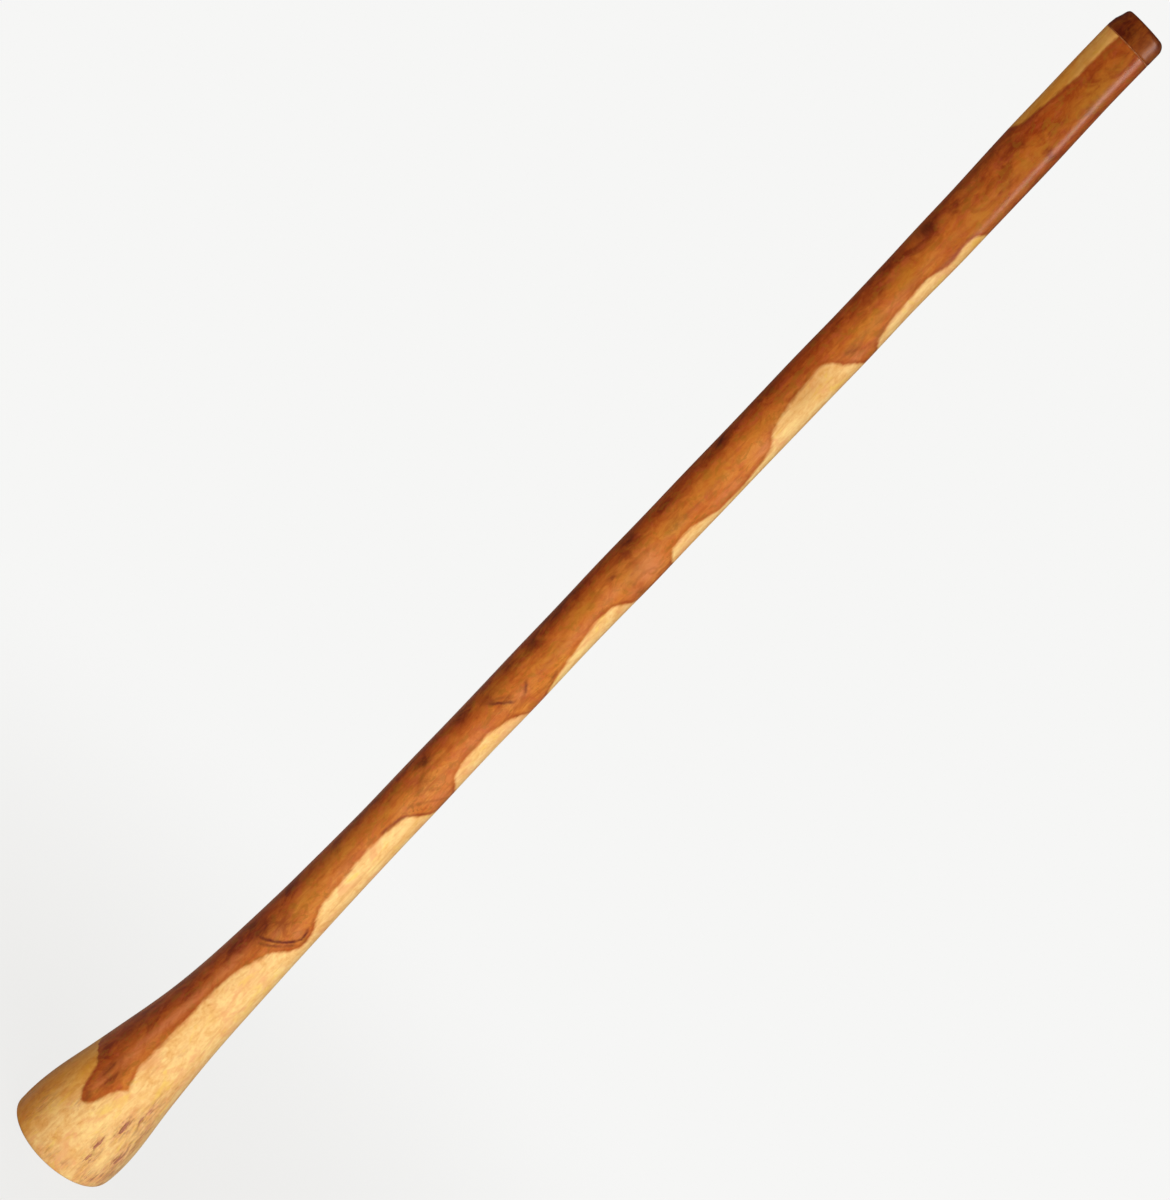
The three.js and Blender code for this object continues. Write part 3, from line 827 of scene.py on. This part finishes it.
def rounded_line(points, passes=3):
    """A line with its corners cut again and again, as heights and bearings."""
    for _ in range(passes):
        near, far = points[:-1] * 0.75 + points[1:] * 0.25, points[:-1] * 0.25 + points[1:] * 0.75
        cut = np.stack([near, far], axis=1).reshape(-1, 2)
        points = np.concatenate([points[:1], cut, points[-1:]])
    return points.T


def cusp_strength(heights, bearings, log):
    places = straight(heights, bearings, log.outer_at(heights * MM, bearings) / MM)
    strength = np.zeros(len(heights))
    for height, degrees in CUSPS:
        bearing = np.array([math.radians(degrees)])
        middle = straight(np.array([height]), bearing, log.outer_at(height * MM, bearing) / MM)
        gap = places - middle
        along = gap[:, 2] / CUSP_STRETCH
        distance = np.sqrt(gap[:, 0] ** 2 + gap[:, 1] ** 2 + along ** 2)
        strength = np.maximum(strength, np.exp(-(distance / CUSP_REACH) ** 2))
    return strength


def grain_places(heights, bearings, radii):
    """Texture places, in metres, whose grain parts and closes round each cusp."""
    shifted = bearings.copy()
    for height, degrees in CUSPS:
        turn = turn_from(bearings, math.radians(degrees))
        across = turn * radii
        distance = across ** 2 + ((heights - height) / GRAIN_STRETCH) ** 2
        shifted -= turn * GRAIN_PARTING / (distance + GRAIN_PARTING)
    return straight(heights, shifted, radii) * MM


# ---------------------------------------------------------------- the log

# The foot stands on what lies below FOOT_FLAT. Its worn outer edge is a quarter of an ellipse,
# which reaches FOOT_SHARE of its width at FOOT_RISE of its height.
FOOT_FLAT = 0.05 * MM
FOOT_STEP = 0.25 * MM
FOOT_WAVES = 5
FOOT_SHARE = 0.93
FOOT_RISE = 0.63
FOOT_BORE_EDGE = 2.2 * MM
# Eased and bevelled edges round the seam and the socket.
EDGE_EASE = 0.4 * MM
SEAM_STEP = 2.2 * MM
SOCKET_BEVEL = 0.3 * MM
THROAT_EDGE = 1.2 * MM
# Rings of the wall: they blend in from the worn edge below and into the sloped seam above, and
# lie close together past the drying checks.
LOW_BLEND = 30 * MM
TOP_BLEND = 25 * MM
DENSE_TOP = 105 * MM
DENSE_STEP = 1.15 * MM
PLAIN_RINGS = 430
FOOT_RINGS = 6
SOCKET_RINGS = 5
BORE_RINGS = 112
# Zones of the skin, as places in its list of materials. The outside is zone 0.
END_GRAIN = 1
BORE = 2
# Heights of the relief, and how far from an edge it fades out: the bore's at the foot and the top.
RELIEF = 0.16 * MM
CUSP_SWELL = 0.55 * MM
BORE_RELIEF = 0.75 * MM
SEAM_FADE = 40 * MM
BORE_FADES = (25 * MM, 60 * MM)
# Columns round the log: close together on the side with the drying checks.
CHECK_SIDE = (math.radians(12), math.radians(72))
CHECK_COLUMNS = 56
OTHER_COLUMNS = 84


def column_bearings():
    dense = np.linspace(*CHECK_SIDE, CHECK_COLUMNS, endpoint=False)
    rest = np.linspace(CHECK_SIDE[1], CHECK_SIDE[0] + 2 * np.pi, OTHER_COLUMNS, endpoint=False)
    return np.concatenate([dense, rest])


class Check:
    """One drying check: its CAD filler gives its middle, half length and half width."""

    # Its ragged edge and its drift sideways, as shares of its half width.
    TAPER = 0.85
    RAGGED, RAGGED_WAVES = 0.16, 9
    DRIFT, DRIFT_WAVES = 0.28, 2.6

    def __init__(self, log, name):
        self.name = name
        points = frame_points(name)
        low, high = points.min(0), points.max(0)
        self.height = (low[2] + high[2]) / 2
        self.half_length = (high[2] - low[2]) / 2
        x, y = log.centre_at(points[:, 2])
        bearings = np.arctan2(points[:, 0] - x, y - points[:, 1])
        self.bearing = (bearings.min() + bearings.max()) / 2
        self.radius = float(log.outer_at(self.height, self.bearing))
        self.half_width = (bearings.max() - bearings.min()) / 2 * self.radius
        self.phase = RANDOM.uniform(0, 2 * np.pi)

    def half_width_at(self, share):
        """Half width at a share of the half length from the middle, -1 to 1, with a ragged edge."""
        taper = np.clip(1 - share ** 2, 0, 1) ** self.TAPER
        ragged = 1 + self.RAGGED * np.sin(self.RAGGED_WAVES * share + self.phase)
        return self.half_width * taper * ragged

    def drift_at(self, share):
        """Sideways wander of the middle line."""
        return self.DRIFT * self.half_width * np.sin(self.DRIFT_WAVES * share + self.phase)

    def across(self, heights, bearings):
        share = (heights - self.height) / self.half_length
        return share, turn_from(bearings, self.bearing) * self.radius - self.drift_at(share)


# A check's recess: a margin round its resin, a depth as a share of its half width, and how round
# it is across, where 1 is a parabola and less is flatter.
RECESS_MARGIN = 0.15 * MM
RECESS_DEPTH = 0.6
RECESS_ROUNDING = 0.6
# How far its stain reaches, in half lengths and half widths.
STAIN_LENGTH = 2.1
STAIN_WIDTH = 3.4


def recess(checks, heights, bearings):
    """How deep the drying checks sink into the outside."""
    depth = np.zeros(np.broadcast(heights, bearings).shape)
    for check in checks:
        share, across = check.across(heights, bearings)
        width = check.half_width_at(share) + RECESS_MARGIN
        inside = np.clip(1 - (across / width) ** 2, 0, 1)
        sunk = RECESS_DEPTH * check.half_width * inside ** RECESS_ROUNDING
        depth = np.maximum(depth, np.where(np.abs(share) < 1, sunk, 0))
    return depth


def stain_strength(checks, heights, bearings):
    """Weathering round the checks, longer along the grain than across it."""
    strength = np.zeros(len(heights))
    for check in checks:
        share, across = check.across(heights, bearings)
        spread = (share / STAIN_LENGTH) ** 2 + (across / (STAIN_WIDTH * check.half_width)) ** 2
        strength = np.maximum(strength, np.exp(-spread))
    return strength


def foot_edges(log, bearings):
    """The standing ring's edges, and the height where the worn outer edge meets the wall."""
    flat = log.points[log.points[:, 2] < FOOT_FLAT]
    x, y = log.centre_at(0.0)
    away = np.hypot(flat[:, 0] - x, flat[:, 1] - y)
    wall = log.outer_at(0.0, bearings)
    heights = np.arange(2 * FOOT_STEP, log.LOWEST, FOOT_STEP)
    starts = []
    for bearing, full in zip(bearings, wall):
        target = away.max() + FOOT_SHARE * (full - away.max())
        out = outward(np.array([bearing]))[0]
        for height in heights:
            middle = np.array([x, y, height])
            if REACH - cast(log.tree, middle + out * REACH, -out) >= target:
                break
        starts.append(height / FOOT_RISE)
    turns = bearings % (2 * np.pi)
    even = np.interp(log.BEARINGS, turns, starts, period=2 * np.pi)
    smooth = np.interp(turns, log.BEARINGS, smooth_round(even, FOOT_WAVES), period=2 * np.pi)
    return away.min(), away.max(), smooth


def outside_relief(log, heights, bearings):
    """Small rises and hollows of a hand-finished log, swellings at the cusps, and the checks."""
    radii = log.outer_at(heights, bearings)
    swell = cusp_strength(heights.ravel() / MM, (bearings + 0 * heights).ravel(), log)
    fade = ease((log.seam_height - heights) / SEAM_FADE)
    rise = RELIEF * log.relief(bearings, heights) + CUSP_SWELL * swell.reshape(heights.shape)
    return radii + rise * fade - recess(log.checks, heights, bearings)


def seeded_relief(count, turns, lengths):
    """A relief that gives the same value at a place each time that it is read."""
    draws = [(RANDOM.integers(turns[0], turns[1] + 1), 2 * np.pi / RANDOM.uniform(*lengths),
              RANDOM.uniform(0, 2 * np.pi), RANDOM.choice([-1, 1])) for _ in range(count)]

    def relief(bearings, heights):
        total = 0.0
        for around, along, phase, sign in draws:
            total = total + np.sin(around * bearings + sign * along * heights + phase)
        return total / math.sqrt(count)

    return relief


def build_log(log):
    """Out over the standing ring, up the wall, in over the seam, and down the socket and bore."""
    bearings = column_bearings()
    rings = Rings(log.point, bearings)
    inner_edge, outer_edge, starts = foot_edges(log, bearings)
    for radius in np.linspace(inner_edge, outer_edge, FOOT_RINGS):
        rings.add(0.0, radius, END_GRAIN)
    add_outside(log, rings, outer_edge, starts)
    add_seam_and_socket(log, rings)
    add_bore(log, rings, inner_edge)
    materials = [log_material(), end_grain_material(), bore_material()]
    paint_log(log, rings, rings.piece("log_skin", "log", "log_wood", "trunk", materials))


def add_outside(log, rings, outer_edge, starts):
    """The worn foot edge, the wall, and the eased edge at the seam."""
    level = 0 * rings.bearings
    wall = outside_relief(log, starts, rings.bearings)
    for turn in steps(8, 0, np.pi / 2):
        radii = outer_edge + (wall - outer_edge) * math.sin(turn)
        rings.add(starts * (1 - math.cos(turn)), radii)
    edge = outside_relief(log, log.seam_height + level, rings.bearings)
    eased = log.seam_at(rings.bearings, edge) - EDGE_EASE
    top_blend = log.seam_height - TOP_BLEND
    wall_heights = [
        *(starts + (LOW_BLEND - starts) * share for share in steps(21)),
        *(level + height for height in np.arange(LOW_BLEND, DENSE_TOP, DENSE_STEP)[1:]),
        *(level + height for height in np.linspace(DENSE_TOP, top_blend, PLAIN_RINGS)),
        *(top_blend + (eased - top_blend) * share for share in steps(8))]
    for heights in wall_heights:
        rings.add(heights, outside_relief(log, heights, rings.bearings))
    for turn in steps(3, 0, np.pi / 2):
        rings.add(eased + EDGE_EASE * math.sin(turn), edge - EDGE_EASE * (1 - math.cos(turn)))


def add_seam_and_socket(log, rings):
    """The flat seam face with its bevelled inner edge, then the socket's wall and floor."""
    radius = log.socket_radius
    for step in (SEAM_STEP, SOCKET_BEVEL):
        rings.add(log.seam_at(rings.bearings, radius + step), radius + step, END_GRAIN)
    rings.add(log.seam_at(rings.bearings, radius) - SOCKET_BEVEL, radius, END_GRAIN)
    for height in np.linspace(log.seam_height - log.BELOW_SEAM, log.socket_floor, SOCKET_RINGS):
        rings.add(height, radius, END_GRAIN)
    throat = log.bore_at(log.socket_floor, rings.bearings)
    rings.add(log.socket_floor, throat + THROAT_EDGE, END_GRAIN)


def add_bore(log, rings, inner_edge):
    """The rough channel, from the socket's floor down to its eased edge at the foot."""
    bearings = rings.bearings
    bore_top = log.socket_floor - EDGE_EASE
    for height in np.linspace(bore_top, FOOT_BORE_EDGE, BORE_RINGS):
        fade = ease((bore_top - height) / BORE_FADES[1]) * ease(height / BORE_FADES[0])
        rough = BORE_RELIEF * log.bore_relief(bearings, height) * fade
        rings.add(height, log.bore_at(height, bearings) + rough, BORE)
    lowest = rings.radii[-1]
    for turn in steps(4, 0, np.pi / 2)[:-1]:
        radii = lowest + (inner_edge - lowest) * (1 - math.cos(turn))
        rings.add(FOOT_BORE_EDGE * (1 - math.sin(turn)), radii, END_GRAIN)


def paint_log(log, rings, skin):
    """Gives the skin the attributes that its materials read."""
    heights, bearings, radii = places = rings.places()
    add_attribute(skin, "heart", heart_distance(log, heights, bearings))
    add_attribute(skin, "cusp", cusp_strength(heights, bearings, log))
    for name, patches in HEART_PATCHES.items():
        add_attribute(skin, name, patch_strength(patches, *places))
    near_checks = stain_strength(log.checks, heights * MM, bearings)
    add_attribute(skin, "stain", np.maximum(near_checks, patch_strength(STAIN_PATCHES, *places)))
    for name, curls in CURL_LAYERS.items():
        offset, strength = curl_field(curls, *places)
        add_attribute(skin, name, offset)
        add_attribute(skin, name + "_strength", strength)
    # Painted light and shade: how far each place is painted as lit.
    add_attribute(skin, "painted_light", painted_light_share(heights, bearings))
    add_attribute(skin, "ring", radii)
    add_attribute(skin, "grain", grain_places(*places), "FLOAT_VECTOR")


# ---------------------------------------------------------------- resin in the drying checks

# Rings along a lens of resin and points round each, how far its top is sunk, and how far it goes
# down and crowns, as shares of its half width.
FILLER_STATIONS = 28
FILLER_SIDES = 14
FILLER_SINK = 0.1 * MM
FILLER_DEPTH = 0.7
FILLER_CROWN = 0.03


def filler_points(log, check):
    """Rings round the lens from its lower end to its upper, then its two tips."""
    points = []
    around = np.linspace(0, 2 * np.pi, FILLER_SIDES, endpoint=False)
    for share in np.linspace(-1, 1, FILLER_STATIONS + 2)[1:-1]:
        width = check.half_width_at(share)
        across = width * np.cos(around) + check.drift_at(share)
        below = np.clip(-np.sin(around), 0, 1)
        above = np.clip(np.sin(around), 0, 1)
        depth = FILLER_SINK + width * (FILLER_DEPTH * below - FILLER_CROWN * above)
        heights = np.full(FILLER_SIDES, check.height + share * check.half_length)
        bearings = check.bearing + across / check.radius
        points.extend(log.point(heights, bearings, log.outer_at(heights, bearings) - depth))
    for share in (-1, 1):
        height = np.array([check.height + share * check.half_length])
        bearing = check.bearing + check.drift_at(share) / check.radius
        points.extend(log.point(height, bearing, log.outer_at(height, bearing) - 2 * FILLER_SINK))
    return np.array(points)


def filler_faces():
    """Quads between the rings and a fan at each tip, facing outwards."""
    faces = []
    top = (FILLER_STATIONS - 1) * FILLER_SIDES
    first = FILLER_STATIONS * FILLER_SIDES
    for j in range(FILLER_SIDES):
        beside = (j + 1) % FILLER_SIDES
        for row in range(0, top, FILLER_SIDES):
            above = row + FILLER_SIDES
            faces.append((row + j, above + j, above + beside, row + beside))
        faces.append((first, j, beside))
        faces.append((first + 1, top + beside, top + j))
    return faces


def build_filler(log, check, material):
    """A lens of resin just under the log's surface, pinched to a point at each end."""
    points = filler_points(log, check)
    name = check.name.replace("check_filler", "check_resin")
    piece = new_piece(name, points, filler_faces(), "log", check.name, [material])
    add_attribute(piece, "grain", points, "FLOAT_VECTOR")


# ---------------------------------------------------------------- the mouthpiece and its wax

# Columns round the mouthpiece, and rings along the collar's section.
MOUTH_COLUMNS = 128
MOUTH_SECTION = 110
# The collar's section is read by rays from a place inside its wall: how far out, and how high.
COLLAR_FOCUS = (19.4 * MM, 1386 * MM)
COLLAR_TURNS = (math.radians(-58), math.radians(182))
# How the section is smoothed, along itself and round the collar.
COLLAR_ROWS = 2
COLLAR_WAVES = 6
# Where the straight part of the lip hole starts, above the seam, and the eased edges below it.
HOLE_TOP = 6 * MM
HOLE_BEVEL = (0.5 * MM, 0.8 * MM)
SPIGOT_BEVEL = 0.9 * MM
SPIGOT_FILLET = 0.5 * MM
# The collar's underside ends in a small rounded edge: inwards and upwards from the section's start.
COLLAR_EDGE = [(1.0 * MM, 0.0), (0.35 * MM, 0.1 * MM), (0.05 * MM, 0.45 * MM)]
# Patches like the log's: a height and a bearing, half length and half width in mm, strength. The dark
# ones are partly painted shade, and the others are painted light.
COLLAR_PATCHES = {
    "dark": [(1384, -14, 8, 7, 1.0), (1386, -40, 12, 8, 0.3), (1388, -75, 14, 10, 0.35),
             (1388, 150, 12, 14, 0.6)],
    "painted_light": [(1386, 36, 14, 10, 1.0), (1388, 8, 8, 5, 0.5), (1388, -150, 12, 12, 0.6)],
}


def collar_section(log):
    """The collar's section under each bearing, as the rays' angles and reaches."""
    tree = frame_tree("mouthpiece")
    turns = np.linspace(*COLLAR_TURNS, MOUTH_SECTION)
    reach = np.empty((MOUTH_SECTION, MOUTH_COLUMNS))
    for j, out in enumerate(outward(even_bearings(MOUTH_COLUMNS))):
        origin = np.array([*log.seam_centre, COLLAR_FOCUS[1]]) + out * COLLAR_FOCUS[0]
        for i, turn in enumerate(turns):
            ray = out * math.cos(turn) + np.array([0, 0, math.sin(turn)])
            reach[i, j] = cast(tree, origin, ray)
    return turns, smooth_round(smooth_along(reach, COLLAR_ROWS), COLLAR_WAVES)


def build_mouthpiece(log):
    """The collar, the lip hole down through it, and the spigot back up to its underside."""
    rings = Rings(log.socket_point, even_bearings(MOUTH_COLUMNS))
    turns, reach = collar_section(log)
    for turn, row in zip(turns, reach):
        rings.add(COLLAR_FOCUS[1] + row * math.sin(turn), COLLAR_FOCUS[0] + row * math.cos(turn))
    add_spigot(log, rings, rings.radii[0])
    materials = [mouthpiece_material()]
    piece = rings.piece("mouthpiece_collar", "mouth_end", "mouthpiece_wood", "mouthpiece", materials)
    add_attribute(piece, "grain", straight(*rings.places()) * MM, "FLOAT_VECTOR")
    for name, patches in COLLAR_PATCHES.items():
        add_attribute(piece, name, patch_strength(patches, *rings.places()))


def add_spigot(log, rings, edge):
    """The lip hole's wall, the spigot, and the collar's underside out to its edge."""
    points = frame_points("mouthpiece")
    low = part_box("mouthpiece")[0][2]
    away = log.away(points)
    hole = away.min()
    spigot = away[points[:, 2] < low + NEAR].max()
    underside = points[(points[:, 2] < log.seam_height + SLOPE_RISE) & (away > spigot + NEAR)]
    plane = fitted_plane(underside)

    def foot(radii):
        x, y, _ = log.socket_point(0.0, rings.bearings, radii).T
        return height_on(plane, x, y)

    for height in np.linspace(log.seam_height + HOLE_TOP, low + HOLE_BEVEL[1], 8):
        rings.add(height, hole)
    rings.add(low, hole + HOLE_BEVEL[0])
    rings.add(low, spigot - SPIGOT_BEVEL)
    bottom, top = low + SPIGOT_BEVEL, foot(spigot) - SPIGOT_FILLET
    for share in [0, *steps(5)]:
        rings.add(bottom + (top - bottom) * share, spigot)
    rings.add(foot(spigot), spigot + SPIGOT_FILLET)
    for inwards, upwards in COLLAR_EDGE:
        rings.add(foot(edge - inwards) + upwards, edge - inwards)


WAX_COLUMNS = 96
WAX_BEVEL = 0.3 * MM
WAX_EDGE = 0.2 * MM
# How far the pressed wax stays inside its CAD solid, and how high its lumps are.
SLEEVE_FOOT = (0.1 * MM, 0.05 * MM)
SLEEVE_SIDE = (0.12 * MM, 0.07 * MM)
FLANGE_EDGE = (0.05 * MM, 0.07 * MM)
FLANGE_CORNER = (0.25 * MM, 0.06 * MM)
# The flange's faces, as heights above the seam.
WAX_FACES = (0.04 * MM, 1.04 * MM)


def wax_rings(log, bearings):
    """Radii, heights and lumps: out along the sleeve's foot, up its side, round the flange."""
    points = frame_points("wax_seal")
    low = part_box("wax_seal")[0][2]
    away = log.away(points)
    inner = away.min()
    sleeve, flange = away[points[:, 2] < low + NEAR].max(), away.max()
    middle = (sleeve + flange) / 2
    edge = flange - FLANGE_EDGE[0]
    under, over = WAX_FACES

    def seam(radius, lift):
        return log.seam_at(bearings, radius) + lift

    def inside(radius, heights, inset_and_lump):
        return radius - inset_and_lump[0], heights, inset_and_lump[1]

    start = low + WAX_BEVEL
    rise = seam(sleeve, under) - start
    side = [inside(sleeve, start + rise * share, SLEEVE_SIDE) for share in steps(13)]
    return [
        (inner, low, 0), (sleeve - WAX_BEVEL, low, 0), inside(sleeve, start, SLEEVE_FOOT), *side,
        (middle, seam(middle, under), 0), inside(flange, seam(edge, under), FLANGE_CORNER),
        inside(flange, seam(edge, (under + over) / 2), FLANGE_EDGE),
        inside(flange, seam(edge, over), FLANGE_CORNER), (middle, seam(middle, over), 0),
        (inner + WAX_EDGE, seam(inner, over), 0), (inner, seam(inner, over) - WAX_EDGE, 0)]


def build_wax(log):
    """A hand-pressed bed: a lumpy sleeve round the spigot and a flange with a squeezed-out edge."""
    bearings = even_bearings(WAX_COLUMNS)
    rings = Rings(log.socket_point, bearings)
    lumps = seeded_relief(16, (2, 14), (4 * MM, 14 * MM))
    for radius, heights, lump in wax_rings(log, bearings):
        rings.add(heights, radius + lump * lumps(bearings, heights))
    piece = rings.piece("wax_bed", "mouth_end", "beeswax", "wax_seal", [wax_material()])
    add_attribute(piece, "grain", straight(*rings.places()) * MM, "FLOAT_VECTOR")


# ---------------------------------------------------------------- floor, light and camera

# The photo's view: 2.5 m away and 1.27 m up, looking down, and rolled.
CAMERA_PLACE = (-0.00175, -2.489, 1.2695)
CAMERA_PITCH = math.radians(-12.48)
CAMERA_ROLL = math.radians(44.03)
CAMERA_LENS = 87.0
# The floor glows like the background from GLOW_REACH outwards, and a little less at the foot, so
# that a faint shadow shows there.
FLOOR_SIZE = 60.0
GLOW_REACH = 1.2
GLOW_AT_FOOT = 0.88
PALE = linear((246, 246, 245))


def build_camera():
    """Looks down at the standing log, and is rolled so that the mouthpiece points up and right."""
    ahead = Vector((0, math.cos(CAMERA_PITCH), math.sin(CAMERA_PITCH)))
    level_right = Vector((1, 0, 0))
    level_up = level_right.cross(ahead)
    right = level_right * math.cos(CAMERA_ROLL) + level_up * math.sin(CAMERA_ROLL)
    up = level_up * math.cos(CAMERA_ROLL) - level_right * math.sin(CAMERA_ROLL)
    data = bpy.data.cameras.new("camera")
    data.lens = CAMERA_LENS
    camera = bpy.data.objects.new("camera", data)
    bpy.context.collection.objects.link(camera)
    turn = Matrix((right, up, -ahead)).transposed()
    camera.matrix_world = Matrix.Translation(CAMERA_PLACE) @ turn.to_4x4()
    bpy.context.scene.camera = camera


def build_floor():
    """A pale floor that fades into an equally pale background."""
    half = FLOOR_SIZE / 2
    corners = [(-half, -half, 0), (half, -half, 0), (half, half, 0), (-half, half, 0)]
    mesh = bpy.data.meshes.new("floor")
    mesh.from_pydata(corners, [], [(0, 1, 2, 3)])
    floor = bpy.data.objects.new("floor", mesh)
    bpy.context.collection.objects.link(floor)
    s = Shader("floor_paint", Specular_IOR_Level=0.0)
    place = s.node("ShaderNodeTexCoord").outputs["Object"]
    speck = s.noise(place, 30, 3)
    s.finish(s.ramp(speck, [(0.3, (178, 177, 175)), (0.7, (184, 183, 181))]), 0.9)
    away = s.node("ShaderNodeVectorMath", {0: place}, operation="LENGTH").outputs["Value"]
    seen = s.node("ShaderNodeLightPath").outputs["Is Camera Ray"]
    share = s.times(s.remap(away, 0.0, GLOW_REACH, GLOW_AT_FOOT, 1.0), seen)
    glow = s.node("ShaderNodeEmission", {"Color": PALE})
    mix = s.node("ShaderNodeMixShader", {0: share, 1: s.surface.outputs[0], 2: glow.outputs[0]})
    s.put(s.tree.nodes["Material Output"].inputs["Surface"], mix.outputs[0])
    mesh.materials.append(s.material)


def area_light(name, bearing, distance, height, size, watts, colour, aim, glossy=True):
    """A soft box on a bearing from the log, aimed at a height on it."""
    data = bpy.data.lights.new(name, "AREA")
    data.shape = "RECTANGLE"
    data.size, data.size_y = size
    data.energy = watts
    data.color = colour
    light = bpy.data.objects.new(name, data)
    bpy.context.collection.objects.link(light)
    turn = math.radians(bearing)
    light.location = (distance * math.sin(turn), -distance * math.cos(turn), height)
    away = Vector(light.location) - Vector((0, 0, aim))
    light.rotation_mode = "QUATERNION"
    light.rotation_quaternion = away.to_track_quat("Z", "Y")
    light.visible_camera = False
    light.visible_glossy = glossy
    return light


def build_lights():
    area_light("key", 28, 2.0, 0.65, (1.1, 1.1), 36, (1.0, 0.99, 0.97), 0.3, glossy=False)
    strip = area_light("strip", 86, 1.9, 1.8, (0.7, 1.3), 19, (1.0, 0.92, 0.88), 1.3)
    strip.visible_diffuse = False
    area_light("fill", -72, 2.0, 1.5, (1.0, 1.0), 8, (1.0, 0.78, 0.5), 1.25, glossy=False)
    area_light("back", 185, 2.6, 1.2, (2.0, 2.0), 20, (1.0, 0.98, 0.95), 0.6, glossy=False)


def build_world():
    """Warm light from all round, and a plain pale background for the camera."""
    world = bpy.data.worlds.new("studio")
    world.use_nodes = True
    nodes, links = world.node_tree.nodes, world.node_tree.links
    path = nodes.new("ShaderNodeLightPath")

    def background(colour, strength):
        made = nodes.new("ShaderNodeBackground")
        made.inputs["Color"].default_value = colour
        made.inputs["Strength"].default_value = strength
        return made.outputs[0]

    def choose(ray, other, mine):
        made = nodes.new("ShaderNodeMixShader")
        for socket, value in zip(made.inputs, (path.outputs[ray], other, mine)):
            links.new(value, socket)
        return made.outputs[0]

    lit = background((1.0, 0.76, 0.52, 1), 0.3)
    mirrored = background((1.0, 0.98, 0.96, 1), 0.06)
    sky = choose("Is Camera Ray", choose("Is Glossy Ray", lit, mirrored), background(PALE, 1.0))
    links.new(sky, nodes["World Output"].inputs["Surface"])
    bpy.context.scene.world = world
    bpy.context.scene.view_settings.view_transform = "Standard"


def main():
    build_camera()
    build_floor()
    build_lights()
    build_world()
    log = Log()
    build_log(log)
    resin = resin_material()
    for check in log.checks:
        build_filler(log, check, resin)
    build_mouthpiece(log)
    build_wax(log)


main()
